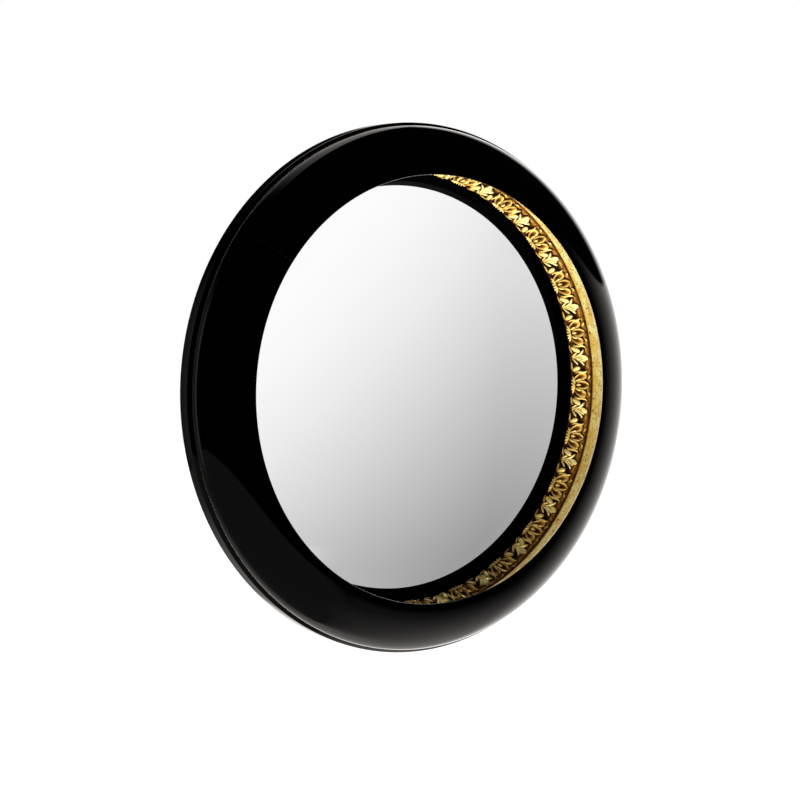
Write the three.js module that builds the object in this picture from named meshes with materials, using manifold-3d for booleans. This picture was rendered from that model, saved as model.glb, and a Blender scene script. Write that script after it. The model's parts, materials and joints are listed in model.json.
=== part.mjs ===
// A round wall mirror: a deep black lacquered frame in half rings, a gilded inner wall with a
// carved frieze, and a gently convex glass set far back behind the lip.
//
// All sizes are in millimetres. The mirror's axis is Y: it faces -Y, +Z is up, and the wall is
// the plane y = 0. A depth is the distance in front of the wall, so depth d lies at y = -d.
// A radius is measured from the mirror's axis, and an angle turns from +X towards +Z.

import * as THREE from 'three';
import { mergeVertices } from 'three/addons/utils/BufferGeometryUtils.js';
import Module from 'manifold-3d';

const wasm = await Module();
wasm.setup();

// ---- Driving dimensions ---------------------------------------------------------------------

const CLEARANCE = 0.3; // between two pieces that touch
const RING_STEPS = 60; // facets round a full ring
const SMALL_STEPS = 10; // facets round a screw

// Glass, and what packs it
const SIGHT_RADIUS = 388; // edge of the glass that shows
const GLASS_LAP = 13; // width of its hidden edge
const GLASS_THICKNESS = 4;
const GLASS_RISE = 26; // height of its crown over its sight edge
const GLASS_STEPS = 5;
const FELT_WIDTH = 15;
const FELT_THICKNESS = 3.2;

// Liner: the black stepped ring that holds the glass
const REBATE_DEPTH = 16.4;
const REBATE_CLEARANCE = 1.5;
const SIGHT_EDGE = 1.2;
const LINER_STEP_WIDTH = 8;
const LINER_STEP_HEIGHT = 8;
const LINER_SLOPE_WIDTH = 17;
const LINER_SLOPE_HEIGHT = 6;

// Front ring: the bullnose between the rim and the lip
const LIP_OVERSET = 8; // how far the lip stands outside the edge of the glass
const LIP_ROUND = 1.5;
const LIP_THICKNESS = 4;
const DOME_WIDTH = 94.3;
const DOME_HEIGHT = 50.9;
const DOME_EXPONENT = 1.8; // 2 is a quarter ellipse, 1 is a straight bevel
const DOME_STEPS = 10;

// Rim ring: the outermost ring, a flange that stands off the wall
const RIM_CHAMFER_WIDTH = 7;
const RIM_CHAMFER_HEIGHT = 5.4;
const RIM_TAPER = 2.7; // how far the side draws in from its rear edge to its front arris
const RIM_SIDE_HEIGHT = 23.4;
const RIM_REAR_ROUND = 3.6;

// Carved frieze
const FRIEZE_INSET = 1; // from the liner's edge
const FRIEZE_FLARE = 14; // how far its crest stands outside its foot
const FRIEZE_BULGE = 2.5;
const FRIEZE_WALL = 4.5; // left behind the groove
const GROOVE_RECESS = 5;
const GROOVE_RISE = 3; // from the crest up to the groove's floor

// Gilded band: the smooth cove under the lip
const BAND_HEIGHT = 62.5; // from its foot to the lip
const BAND_FLARE = 29; // how far its foot stands outside the lip
const BAND_FOOT_GAP = 9.5; // from the frieze's crest to the band's foot
const BAND_EDGE_INSET = 2; // its top edge stands this far outside the lip
const BAND_BACK_HEIGHT = 12;
const BAND_BACK_INSET = 6;
const BAND_HOLLOW = 3;

// Carcass: the plain ring behind the rim, round the bore that takes the gilded rings
const BORE_CLEARANCE = 0.5;
const CARCASS_WALL = 14;
const CARCASS_HEIGHT = 66.1;

// Back
const BUMPER_HEIGHT = 7;
const BUMPER_RADIUS = 12;
const BUMPER_CHAMFER = 1;
const BUMPER_INSET = 25; // from the board's edge
const BUMPER_ANGLES = [60, 120, 240, 300];
const BOARD_THICKNESS = 6;
const BOARD_EDGE_SETBACK = 2; // from the carcass's outer side

// Joint between the half rings, and the loose tongues across it
const JOINT_ANGLE = -35;
const TONGUE_LENGTH = 40;
const TONGUE_THICKNESS = 4;
const FRONT_TONGUE_WIDTH = 30;
const FRONT_TONGUE_RISE = 15; // from the rear of the front ring
const RIM_TONGUE_WIDTH = 24;

// Screws
const SCREW_HEAD_RADIUS = 4;
const SCREW_HEAD_HEIGHT = 2.4;
const SCREW_SHANK_RADIUS = 1.75;
const SCREW_TIP = 3;
const BOARD_SCREW_COUNT = 8;
const BOARD_SCREW_LENGTH = 35;
const BOARD_SCREW_START = 22.5;
const RIM_SCREW_COUNT = 8;
const RIM_SCREW_LENGTH = 42;
const RIM_SCREW_START = 0;

// Hangers: a strap folded round the straight bar of a D-ring
const HANGER_ANGLE = 39;
const STRAP_WIDTH = 14;
const STRAP_THICKNESS = 1.2;
const STRAP_WRAP = 250; // degrees of fold round the bar
const STRAP_END = 8; // from the lower screw to the strap's end
const WIRE = 3.2;
const WIRE_BEVEL = 0.9;
const LOOP_HALF_WIDTH = 16;
const LOOP_DROP = 26; // from the bar's centre to the inside of the bow
const STRAP_SCREW_DROP = 14; // from the bar's centre to the upper screw
const STRAP_SCREW_SPACING = 22;
const STRAP_SCREW_LENGTH = 28;
const STRAP_SCREW_HEAD_RADIUS = 3.6;
const STRAP_SCREW_HEAD_HEIGHT = 1.8;
const STRAP_SCREW_SHANK_RADIUS = 1.6;

// ---- Sizes worked out from them -------------------------------------------------------------

// Radii, from the glass outwards
const FULL_TURN = 360;
const GLASS_RADIUS = SIGHT_RADIUS + GLASS_LAP;
const REBATE_RADIUS = GLASS_RADIUS + REBATE_CLEARANCE;
const LINER_STEP_RADIUS = SIGHT_RADIUS + LINER_STEP_WIDTH;
const LINER_EDGE_RADIUS = LINER_STEP_RADIUS + LINER_SLOPE_WIDTH;
const FRIEZE_FOOT_RADIUS = LINER_EDGE_RADIUS + FRIEZE_INSET;
const FRIEZE_CREST_RADIUS = FRIEZE_FOOT_RADIUS + FRIEZE_FLARE;
const GROOVE_RADIUS = FRIEZE_CREST_RADIUS + GROOVE_RECESS;
const INSERT_RADIUS = GROOVE_RADIUS + FRIEZE_WALL;
const BORE_RADIUS = INSERT_RADIUS + BORE_CLEARANCE;
const CARCASS_RADIUS = BORE_RADIUS + CARCASS_WALL;
const BOARD_RADIUS = CARCASS_RADIUS - BOARD_EDGE_SETBACK;
const LIP_RADIUS = SIGHT_RADIUS + LIP_OVERSET;
const BAND_FOOT_RADIUS = LIP_RADIUS + BAND_FLARE;
const SEAM_RADIUS = LIP_RADIUS + DOME_WIDTH;
const RIM_ARRIS_RADIUS = SEAM_RADIUS + RIM_CHAMFER_WIDTH;
const RIM_RADIUS = RIM_ARRIS_RADIUS + RIM_TAPER;

// Depths, from the wall forwards
const BOARD_REAR_DEPTH = BUMPER_HEIGHT + CLEARANCE;
const BOARD_FRONT_DEPTH = BOARD_REAR_DEPTH + BOARD_THICKNESS;
const INSERT_REAR_DEPTH = BOARD_FRONT_DEPTH + CLEARANCE; // rear of carcass, liner and spacer
const SIGHT_DEPTH = INSERT_REAR_DEPTH + REBATE_DEPTH;
const LINER_STEP_DEPTH = SIGHT_DEPTH + LINER_STEP_HEIGHT;
const LINER_FRONT_DEPTH = LINER_STEP_DEPTH + LINER_SLOPE_HEIGHT;
const CARCASS_FRONT_DEPTH = INSERT_REAR_DEPTH + CARCASS_HEIGHT;
const RIM_REAR_DEPTH = CARCASS_FRONT_DEPTH + CLEARANCE;
const RIM_ARRIS_DEPTH = RIM_REAR_DEPTH + RIM_SIDE_HEIGHT;
const RIM_FRONT_DEPTH = RIM_ARRIS_DEPTH + RIM_CHAMFER_HEIGHT;
const FRONT_RING_REAR_DEPTH = RIM_FRONT_DEPTH + CLEARANCE;
const LIP_DEPTH = FRONT_RING_REAR_DEPTH + DOME_HEIGHT;
const BAND_FOOT_DEPTH = LIP_DEPTH - BAND_HEIGHT;
const FRIEZE_CREST_DEPTH = BAND_FOOT_DEPTH - BAND_FOOT_GAP;
const GROOVE_FLOOR_DEPTH = FRIEZE_CREST_DEPTH + GROOVE_RISE;
const FRIEZE_REAR_DEPTH = LINER_FRONT_DEPTH + CLEARANCE;
const FRIEZE_FRONT_DEPTH = BAND_FOOT_DEPTH - CLEARANCE;

// Places
const GLASS_SPHERE = (SIGHT_RADIUS ** 2 + GLASS_RISE ** 2) / (2 * GLASS_RISE);
const BUMPER_CIRCLE_RADIUS = BOARD_RADIUS - BUMPER_INSET;
const HANGER_RADIUS = (REBATE_RADIUS + INSERT_RADIUS) / 2;
const STRAP_FRONT_DEPTH = BOARD_REAR_DEPTH - CLEARANCE;
const FOLD_INNER_RADIUS = WIRE / 2 + CLEARANCE;
const FOLD_OUTER_RADIUS = FOLD_INNER_RADIUS + STRAP_THICKNESS;
const BAR_DEPTH = STRAP_FRONT_DEPTH - FOLD_OUTER_RADIUS;
const STRAP_SCREW_DROPS = [STRAP_SCREW_DROP, STRAP_SCREW_DROP + STRAP_SCREW_SPACING];
const STRAP_LENGTH = STRAP_SCREW_DROPS[1] + STRAP_END; // from the bar to the strap's end

const radians = THREE.MathUtils.degToRad;

// ---- Finishes -------------------------------------------------------------------------------

const finish = (color, roughness, metalness) => ({ color, roughness, metalness });
const BLACK_LACQUER = finish(0x070708, 0.06, 0);
const GOLD_LEAF = finish(0xe0c468, 0.34, 1);
const CARVED_GOLD = finish(0xb98f35, 0.4, 1);
const SILVERED_GLASS = finish(0xd4d5d7, 0.03, 1);
const RAW_WOOD = finish(0x9b7b54, 0.75, 0);
const STAINED_WOOD = finish(0x1a1817, 0.7, 0);
const BOARD_BROWN = finish(0x6e5238, 0.85, 0);
const FELT_GREY = finish(0x3a3a3c, 0.95, 0);
const RUBBER_BLACK = finish(0x151515, 0.8, 0);
const ZINC = finish(0xb9bcc0, 0.35, 1);

// ---- Solids ---------------------------------------------------------------------------------

/** Turn a closed three.js geometry into a solid that can be joined and cut. */
function toSolid(geometry) {
  geometry.deleteAttribute('normal');
  geometry.deleteAttribute('uv');
  const merged = mergeVertices(geometry, 1e-4);
  const corners = merged.index.array;
  const kept = [];
  for (let i = 0; i < corners.length; i += 3) {
    const [a, b, c] = [corners[i], corners[i + 1], corners[i + 2]];
    if (a !== b && b !== c && c !== a) kept.push(a, b, c);
  }
  const mesh = new wasm.Mesh({
    numProp: 3,
    vertProperties: new Float32Array(merged.attributes.position.array),
    triVerts: new Uint32Array(kept),
  });
  return new wasm.Manifold(mesh);
}

/** Turn a solid back into a three.js geometry. */
function toGeometry(solid) {
  const { vertProperties, triVerts } = solid.getMesh();
  const geometry = new THREE.BufferGeometry();
  geometry.setAttribute('position', new THREE.BufferAttribute(new Float32Array(vertProperties), 3));
  geometry.setIndex(new THREE.BufferAttribute(new Uint32Array(triVerts), 1));
  geometry.computeVertexNormals();
  return geometry;
}

/** Points of an arc in (radius, depth), from one angle in degrees to another. */
function arc(radius, depth, size, from, to, steps) {
  return Array.from({ length: steps + 1 }, (_, i) => {
    const turn = radians(from + ((to - from) * i) / steps);
    return [radius + size * Math.cos(turn), depth + size * Math.sin(turn)];
  });
}

/** Points between two ends, bowed sideways in the middle. Positive bow leans to the right. */
function bowed([r0, d0], [r1, d1], bow, steps) {
  const length = Math.hypot(r1 - r0, d1 - d0);
  const [sideR, sideD] = [(d1 - d0) / length, -(r1 - r0) / length];
  return Array.from({ length: steps + 1 }, (_, i) => {
    const t = i / steps;
    const push = bow * 4 * t * (1 - t);
    return [r0 + (r1 - r0) * t + sideR * push, d0 + (d1 - d0) * t + sideD * push];
  });
}

/** Spin an outline of (radius, depth) points, counter-clockwise, round the mirror's axis. */
function revolve(outline, steps = RING_STEPS) {
  const points = outline.map(([radius, depth]) => new THREE.Vector2(radius, depth));
  const onAxis = outline[0][0] === 0 && outline.at(-1)[0] === 0;
  if (!onAxis) points.push(points[0].clone());
  const halfStep = Math.PI / steps;
  const start = radians(JOINT_ANGLE) + Math.PI / 2 + halfStep;
  return toSolid(new THREE.LatheGeometry(points, steps, start).rotateX(Math.PI));
}

/** A point on a circle round the mirror's axis, as [x, z]. */
function onCircle(radius, angle) {
  return [radius * Math.cos(radians(angle)), radius * Math.sin(radians(angle))];
}

/** The places of count pieces spread evenly on a circle. */
function evenly(count, radius, start) {
  return Array.from({ length: count }, (_, i) => onCircle(radius, start + (FULL_TURN * i) / count));
}

/** A block on the joint diameter, centred at a radius and a depth. */
function jointBlock(radius, depth, width, height, length, end) {
  const block = new THREE.BoxGeometry(width, height, length);
  block.translate(radius, -depth, 0);
  return toSolid(block.rotateY(-radians(JOINT_ANGLE + end)));
}

/** The halves of a ring on each side of the joint diameter, as [upper, lower]. */
function halves(ring) {
  const reach = 2.5 * RIM_RADIUS;
  return [1, -1].map((side) => {
    const block = new THREE.BoxGeometry(reach, reach, reach);
    block.translate(0, 0, side * (reach / 2 + CLEARANCE / 2));
    return ring.intersect(toSolid(block.rotateY(-radians(JOINT_ANGLE))));
  });
}

const group = new THREE.Group();

/** Add one named piece to the mirror. */
function add(name, solid, { color, roughness, metalness }) {
  const material = new THREE.MeshStandardMaterial({ color, roughness, metalness });
  const mesh = new THREE.Mesh(toGeometry(solid), material);
  mesh.name = name;
  group.add(mesh);
  return mesh;
}

// ---- Screws ---------------------------------------------------------------------------------

/** A countersunk screw driven towards the viewer, or its hole when grow is above 0. */
function countersunk(headDepth, length, grow = 0) {
  const shank = SCREW_SHANK_RADIUS + grow;
  const head = SCREW_HEAD_RADIUS + grow;
  const front = headDepth + length + grow;
  const rear = headDepth - 2 * grow;
  return revolve([
    [0, rear],
    [head, rear],
    [head, headDepth],
    [shank, headDepth + SCREW_HEAD_HEIGHT],
    [shank, front - SCREW_TIP],
    [0, front],
  ], SMALL_STEPS);
}

/** A pan head screw, or the hole for its shank when grow is above 0. */
function panHead(headDepth, length, grow = 0) {
  const shank = STRAP_SCREW_SHANK_RADIUS + grow;
  const front = headDepth + length + grow;
  if (grow > 0) {
    return revolve([
      [0, headDepth],
      [shank, headDepth],
      [shank, front - SCREW_TIP],
      [0, front],
    ], SMALL_STEPS);
  }
  const crown = headDepth - STRAP_SCREW_HEAD_HEIGHT;
  return revolve([
    [0, crown],
    [STRAP_SCREW_HEAD_RADIUS * 0.6, crown],
    [STRAP_SCREW_HEAD_RADIUS, headDepth - STRAP_SCREW_HEAD_HEIGHT * 0.4],
    [STRAP_SCREW_HEAD_RADIUS, headDepth],
    [shank, headDepth],
    [shank, front - SCREW_TIP],
    [0, front],
  ], SMALL_STEPS);
}

/** Cut a hole at each place. */
function drill(solid, places, cutter) {
  return places.reduce((left, [x, z]) => left.subtract(cutter.translate(x, 0, z)), solid);
}

// ---- Frame ----------------------------------------------------------------------------------

const rimScrewPlaces = evenly(RIM_SCREW_COUNT, (SEAM_RADIUS + CARCASS_RADIUS) / 2, RIM_SCREW_START);
const rimScrewDepth = RIM_REAR_DEPTH + CLEARANCE;
const rimScrewHole = countersunk(rimScrewDepth, RIM_SCREW_LENGTH, CLEARANCE);

/** Cut the pockets for the two loose tongues of a ring, and give the tongues. */
function tongued(ring, radius, depth, width) {
  const grown = 2 * CLEARANCE;
  const tongues = [0, 180].map((end) =>
    jointBlock(radius, depth, width, TONGUE_THICKNESS, TONGUE_LENGTH, end));
  const pockets = [0, 180].map((end) =>
    jointBlock(radius, depth, width + grown, TONGUE_THICKNESS + grown, TONGUE_LENGTH + grown, end));
  return { ring: pockets.reduce((left, pocket) => left.subtract(pocket), ring), tongues };
}

/** The bullnose of the front ring, from its foot at the seam up to the lip. */
function dome() {
  const [width, height] = [SEAM_RADIUS - LIP_RADIUS - LIP_ROUND, LIP_DEPTH - FRONT_RING_REAR_DEPTH];
  return Array.from({ length: DOME_STEPS + 1 }, (_, i) => {
    const turn = (Math.PI / 2) * (i / DOME_STEPS);
    return [
      LIP_RADIUS + LIP_ROUND + width * Math.abs(Math.cos(turn)) ** (2 / DOME_EXPONENT),
      FRONT_RING_REAR_DEPTH + height * Math.sin(turn) ** (2 / DOME_EXPONENT),
    ];
  });
}

const bandEdge = [LIP_RADIUS + BAND_EDGE_INSET, LIP_DEPTH - LIP_THICKNESS];
const bandShoulder = [LIP_RADIUS + BAND_BACK_INSET, LIP_DEPTH - LIP_THICKNESS - BAND_EDGE_INSET];
const bandHeel = [INSERT_RADIUS, BAND_FOOT_DEPTH + BAND_BACK_HEIGHT];

function buildFrontRing() {
  const outline = [
    [BORE_RADIUS, FRONT_RING_REAR_DEPTH],
    ...dome(),
    ...arc(LIP_RADIUS + LIP_ROUND, LIP_DEPTH - LIP_ROUND, LIP_ROUND, 90, 180, 3).slice(1),
    [bandEdge[0] - 2 * CLEARANCE, bandEdge[1] + CLEARANCE],
    [bandShoulder[0] + CLEARANCE, bandShoulder[1] + CLEARANCE],
    [BORE_RADIUS, bandHeel[1] + CLEARANCE],
  ];
  const middle = (SEAM_RADIUS + BORE_RADIUS) / 2;
  const tongueDepth = FRONT_RING_REAR_DEPTH + FRONT_TONGUE_RISE;
  const { ring, tongues } = tongued(revolve(outline), middle, tongueDepth, FRONT_TONGUE_WIDTH);
  const [upper, lower] = halves(drill(ring, rimScrewPlaces, rimScrewHole));
  add('front_ring_upper', upper, BLACK_LACQUER);
  add('front_ring_lower', lower, BLACK_LACQUER);
  tongues.forEach((tongue, i) => add(`front_ring_tongue_${i + 1}`, tongue, RAW_WOOD));
}

function buildRimRing() {
  const outline = [
    [BORE_RADIUS, RIM_REAR_DEPTH],
    ...arc(RIM_RADIUS - RIM_REAR_ROUND, RIM_REAR_DEPTH + RIM_REAR_ROUND, RIM_REAR_ROUND, -90, 0, 3),
    [RIM_ARRIS_RADIUS, RIM_ARRIS_DEPTH],
    [SEAM_RADIUS, RIM_FRONT_DEPTH],
    [BORE_RADIUS, RIM_FRONT_DEPTH],
  ];
  const middle = (SEAM_RADIUS + BORE_RADIUS) / 2;
  const depth = (RIM_REAR_DEPTH + RIM_FRONT_DEPTH) / 2;
  const { ring, tongues } = tongued(revolve(outline), middle, depth, RIM_TONGUE_WIDTH);
  const [upper, lower] = halves(drill(ring, rimScrewPlaces, rimScrewHole));
  add('rim_ring_upper', upper, BLACK_LACQUER);
  add('rim_ring_lower', lower, BLACK_LACQUER);
  tongues.forEach((tongue, i) => add(`rim_ring_tongue_${i + 1}`, tongue, RAW_WOOD));
  rimScrewPlaces.forEach(([x, z], i) => {
    const screw = countersunk(rimScrewDepth, RIM_SCREW_LENGTH).translate(x, 0, z);
    add(`rim_screw_${i + 1}`, screw, ZINC);
  });
}

// ---- Gilded wall and liner ------------------------------------------------------------------

function buildBand() {
  const foot = [BAND_FOOT_RADIUS, BAND_FOOT_DEPTH];
  const outline = [
    [INSERT_RADIUS, BAND_FOOT_DEPTH],
    bandHeel,
    bandShoulder,
    ...bowed(bandEdge, foot, -BAND_HOLLOW, 4),
  ];
  const [upper, lower] = halves(revolve(outline));
  add('gilt_band_upper', upper, GOLD_LEAF);
  add('gilt_band_lower', lower, GOLD_LEAF);
}

function buildFrieze() {
  const outline = [
    [INSERT_RADIUS, FRIEZE_REAR_DEPTH],
    [INSERT_RADIUS, FRIEZE_FRONT_DEPTH],
    [GROOVE_RADIUS, FRIEZE_FRONT_DEPTH],
    [GROOVE_RADIUS, GROOVE_FLOOR_DEPTH],
    ...bowed(
      [FRIEZE_CREST_RADIUS, FRIEZE_CREST_DEPTH],
      [FRIEZE_FOOT_RADIUS, FRIEZE_REAR_DEPTH],
      FRIEZE_BULGE,
      3,
    ),
  ];
  const [upper, lower] = halves(revolve(outline));
  add('carved_frieze_upper', upper, CARVED_GOLD);
  add('carved_frieze_lower', lower, CARVED_GOLD);
}

const boardScrewCircle = (BORE_RADIUS + BOARD_RADIUS) / 2;
const boardScrewPlaces = evenly(BOARD_SCREW_COUNT, boardScrewCircle, BOARD_SCREW_START);
const boardScrewDepth = BOARD_REAR_DEPTH + CLEARANCE;
const boardScrewHole = countersunk(boardScrewDepth, BOARD_SCREW_LENGTH, CLEARANCE);

const hangerMiddle = onCircle(HANGER_RADIUS, HANGER_ANGLE);
const strapScrewMiddle = STRAP_SCREW_DROP + STRAP_SCREW_SPACING / 2;
const barHeight = hangerMiddle[1] + strapScrewMiddle;
const hangers = [
  { side: 'left', x: -hangerMiddle[0] },
  { side: 'right', x: hangerMiddle[0] },
];
const strapScrewPlaces = hangers.flatMap(({ x }) =>
  STRAP_SCREW_DROPS.map((drop) => [x, barHeight - drop]));
const strapScrewDepth = STRAP_FRONT_DEPTH - STRAP_THICKNESS - CLEARANCE;
const strapScrewHole = panHead(strapScrewDepth, STRAP_SCREW_LENGTH, CLEARANCE);

function buildLiner() {
  const outline = [
    [REBATE_RADIUS, INSERT_REAR_DEPTH],
    [INSERT_RADIUS, INSERT_REAR_DEPTH],
    [INSERT_RADIUS, LINER_FRONT_DEPTH],
    [LINER_EDGE_RADIUS, LINER_FRONT_DEPTH],
    [LINER_STEP_RADIUS, LINER_STEP_DEPTH],
    [SIGHT_RADIUS, SIGHT_DEPTH + SIGHT_EDGE],
    [SIGHT_RADIUS, SIGHT_DEPTH + CLEARANCE],
    [REBATE_RADIUS, SIGHT_DEPTH + CLEARANCE],
  ];
  const [upper, lower] = halves(drill(revolve(outline), strapScrewPlaces, strapScrewHole));
  add('liner_upper', upper, BLACK_LACQUER);
  add('liner_lower', lower, BLACK_LACQUER);
}

// ---- Glass and its packing ------------------------------------------------------------------

/** Depth of the glass's front at a radius. */
function glassFront(radius) {
  const drop = GLASS_SPHERE - Math.sqrt(GLASS_SPHERE ** 2 - radius ** 2);
  return SIGHT_DEPTH + GLASS_RISE - drop;
}

function buildGlass() {
  const front = Array.from({ length: GLASS_STEPS + 1 }, (_, i) => {
    const radius = (GLASS_RADIUS * i) / GLASS_STEPS;
    return [radius, glassFront(radius)];
  });
  const rear = front.map(([radius, depth]) => [radius, depth - GLASS_THICKNESS]);
  add('mirror_glass', revolve([...rear, ...front.reverse()]), SILVERED_GLASS);
}

const feltInnerRadius = GLASS_RADIUS - FELT_WIDTH;
const feltFront = (radius) => glassFront(radius) - GLASS_THICKNESS - CLEARANCE;
const feltRearDepth = feltFront(GLASS_RADIUS) - FELT_THICKNESS;

function buildFelt() {
  const outline = [
    [feltInnerRadius, feltRearDepth],
    [GLASS_RADIUS, feltRearDepth],
    [GLASS_RADIUS, feltFront(GLASS_RADIUS)],
    [feltInnerRadius, feltFront(feltInnerRadius) - CLEARANCE],
  ];
  add('glass_felt', revolve(outline), FELT_GREY);
}

function buildSpacer() {
  const outline = [
    [feltInnerRadius, INSERT_REAR_DEPTH],
    [GLASS_RADIUS, INSERT_REAR_DEPTH],
    [GLASS_RADIUS, feltRearDepth - CLEARANCE],
    [feltInnerRadius, feltRearDepth - CLEARANCE],
  ];
  add('glass_spacer', revolve(outline), RAW_WOOD);
}

// ---- Carcass and back -----------------------------------------------------------------------

function buildCarcass() {
  const outline = [
    [BORE_RADIUS, INSERT_REAR_DEPTH],
    [CARCASS_RADIUS, INSERT_REAR_DEPTH],
    [CARCASS_RADIUS, CARCASS_FRONT_DEPTH],
    [BORE_RADIUS, CARCASS_FRONT_DEPTH],
  ];
  add('carcass_ring', drill(revolve(outline), boardScrewPlaces, boardScrewHole), STAINED_WOOD);
}

function buildBoard() {
  const outline = [
    [0, BOARD_REAR_DEPTH],
    [BOARD_RADIUS, BOARD_REAR_DEPTH],
    [BOARD_RADIUS, BOARD_FRONT_DEPTH],
    [0, BOARD_FRONT_DEPTH],
  ];
  const board = drill(revolve(outline), boardScrewPlaces, boardScrewHole);
  add('backing_board', drill(board, strapScrewPlaces, strapScrewHole), BOARD_BROWN);
  boardScrewPlaces.forEach(([x, z], i) => {
    const screw = countersunk(boardScrewDepth, BOARD_SCREW_LENGTH).translate(x, 0, z);
    add(`board_screw_${i + 1}`, screw, ZINC);
  });
}

function buildBumpers() {
  const bumper = revolve([
    [0, 0],
    [BUMPER_RADIUS - BUMPER_CHAMFER, 0],
    [BUMPER_RADIUS, BUMPER_CHAMFER],
    [BUMPER_RADIUS, BUMPER_HEIGHT],
    [0, BUMPER_HEIGHT],
  ], 2 * SMALL_STEPS);
  BUMPER_ANGLES.forEach((angle, i) => {
    const [x, z] = onCircle(BUMPER_CIRCLE_RADIUS, angle);
    add(`bumper_${i + 1}`, bumper.translate(x, 0, z), RUBBER_BLACK);
  });
}

// ---- Hangers --------------------------------------------------------------------------------

/** A strap seen from its side: a plate on the board, folded round the D-ring's bar. */
function strapSolid() {
  const outline = new THREE.Shape();
  outline.moveTo(STRAP_FRONT_DEPTH, -STRAP_LENGTH);
  outline.lineTo(STRAP_FRONT_DEPTH, 0);
  outline.absarc(BAR_DEPTH, 0, FOLD_OUTER_RADIUS, 0, radians(STRAP_WRAP), false);
  outline.absarc(BAR_DEPTH, 0, FOLD_INNER_RADIUS, radians(STRAP_WRAP), 0, true);
  outline.lineTo(STRAP_FRONT_DEPTH - STRAP_THICKNESS, -STRAP_LENGTH);
  const strap = new THREE.ExtrudeGeometry(outline, {
    depth: STRAP_WIDTH,
    bevelEnabled: false,
    curveSegments: 12,
  });
  strap.translate(0, 0, -STRAP_WIDTH / 2);
  const depthAxis = new THREE.Vector3(0, -1, 0);
  const up = new THREE.Vector3(0, 0, 1);
  const across = new THREE.Vector3(-1, 0, 0);
  return toSolid(strap.applyMatrix4(new THREE.Matrix4().makeBasis(depthAxis, up, across)));
}

/** Trace a D counter-clockwise, with its bar above and its bow below, grown by a margin. */
function traceD(path, margin) {
  const half = LOOP_HALF_WIDTH + margin;
  const top = margin - WIRE / 2;
  const bowHeight = LOOP_HALF_WIDTH - LOOP_DROP;
  path.moveTo(-half, top);
  path.lineTo(-half, bowHeight);
  path.absarc(0, bowHeight, half, -Math.PI, 0, false);
  path.lineTo(half, top);
  return path;
}

/** The D-ring, hanging down from its bar at the origin. */
function dRingSolid() {
  const outline = traceD(new THREE.Shape(), WIRE);
  outline.holes.push(traceD(new THREE.Path(), 0));
  const ring = new THREE.ExtrudeGeometry(outline, {
    depth: WIRE - 2 * WIRE_BEVEL,
    bevelThickness: WIRE_BEVEL,
    bevelSize: WIRE_BEVEL,
    bevelOffset: -WIRE_BEVEL,
    bevelSegments: 1,
    curveSegments: 12,
  });
  ring.translate(0, 0, WIRE_BEVEL - WIRE / 2);
  return toSolid(ring.rotateX(Math.PI / 2));
}

function buildHangers() {
  const strap = strapSolid();
  const ring = dRingSolid();
  for (const { side, x } of hangers) {
    const places = STRAP_SCREW_DROPS.map((drop) => [x, barHeight - drop]);
    const placed = strap.translate(x, 0, barHeight);
    add(`strap_${side}`, drill(placed, places, strapScrewHole.translate(0, CLEARANCE, 0)), ZINC);
    add(`d_ring_${side}`, ring.translate(x, -BAR_DEPTH, barHeight), ZINC);
    places.forEach(([placeX, placeZ], i) => {
      const screw = panHead(strapScrewDepth, STRAP_SCREW_LENGTH).translate(placeX, 0, placeZ);
      add(`strap_screw_${side}_${i + 1}`, screw, ZINC);
    });
  }
}

buildFrontRing();
buildRimRing();
buildBand();
buildFrieze();
buildLiner();
buildGlass();
buildFelt();
buildSpacer();
buildCarcass();
buildBoard();
buildBumpers();
buildHangers();

export default group;
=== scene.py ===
"""A round wall mirror, dressed over its fixed frame of solids.

Lengths are in metres, in the frame's own axes: the mirror's axis is Y, it faces -Y, +Z is up and
the wall is the plane y = 0. A depth is a distance in front of the wall, a radius is measured from
the mirror's axis, and an angle turns from +X towards +Z.
"""

import json
import logging
import math
from collections.abc import Callable, Iterator, Sequence
from contextlib import contextmanager
from dataclasses import dataclass, field, replace
from enum import Enum
from functools import reduce
from itertools import pairwise

import bmesh
import bpy
import numpy as np
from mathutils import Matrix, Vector

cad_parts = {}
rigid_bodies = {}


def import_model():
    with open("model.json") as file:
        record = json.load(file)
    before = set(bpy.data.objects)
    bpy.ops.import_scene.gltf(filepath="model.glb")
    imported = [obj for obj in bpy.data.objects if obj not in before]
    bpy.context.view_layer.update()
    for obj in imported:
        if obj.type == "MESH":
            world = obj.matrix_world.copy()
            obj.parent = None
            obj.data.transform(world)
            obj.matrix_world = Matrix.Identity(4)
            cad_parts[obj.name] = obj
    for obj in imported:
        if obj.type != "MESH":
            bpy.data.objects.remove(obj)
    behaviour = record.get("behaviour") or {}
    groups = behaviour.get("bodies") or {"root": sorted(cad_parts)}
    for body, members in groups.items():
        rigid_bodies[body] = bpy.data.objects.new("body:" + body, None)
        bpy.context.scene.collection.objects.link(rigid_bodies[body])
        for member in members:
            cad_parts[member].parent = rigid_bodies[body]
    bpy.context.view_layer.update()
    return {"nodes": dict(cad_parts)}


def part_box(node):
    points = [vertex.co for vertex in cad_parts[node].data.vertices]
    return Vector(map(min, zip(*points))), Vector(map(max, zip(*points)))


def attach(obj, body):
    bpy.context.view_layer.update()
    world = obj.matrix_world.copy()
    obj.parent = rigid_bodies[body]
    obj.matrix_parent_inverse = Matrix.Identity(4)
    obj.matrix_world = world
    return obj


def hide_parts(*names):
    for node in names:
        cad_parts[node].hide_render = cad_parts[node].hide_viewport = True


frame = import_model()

LOG = logging.getLogger("mirror")

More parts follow.
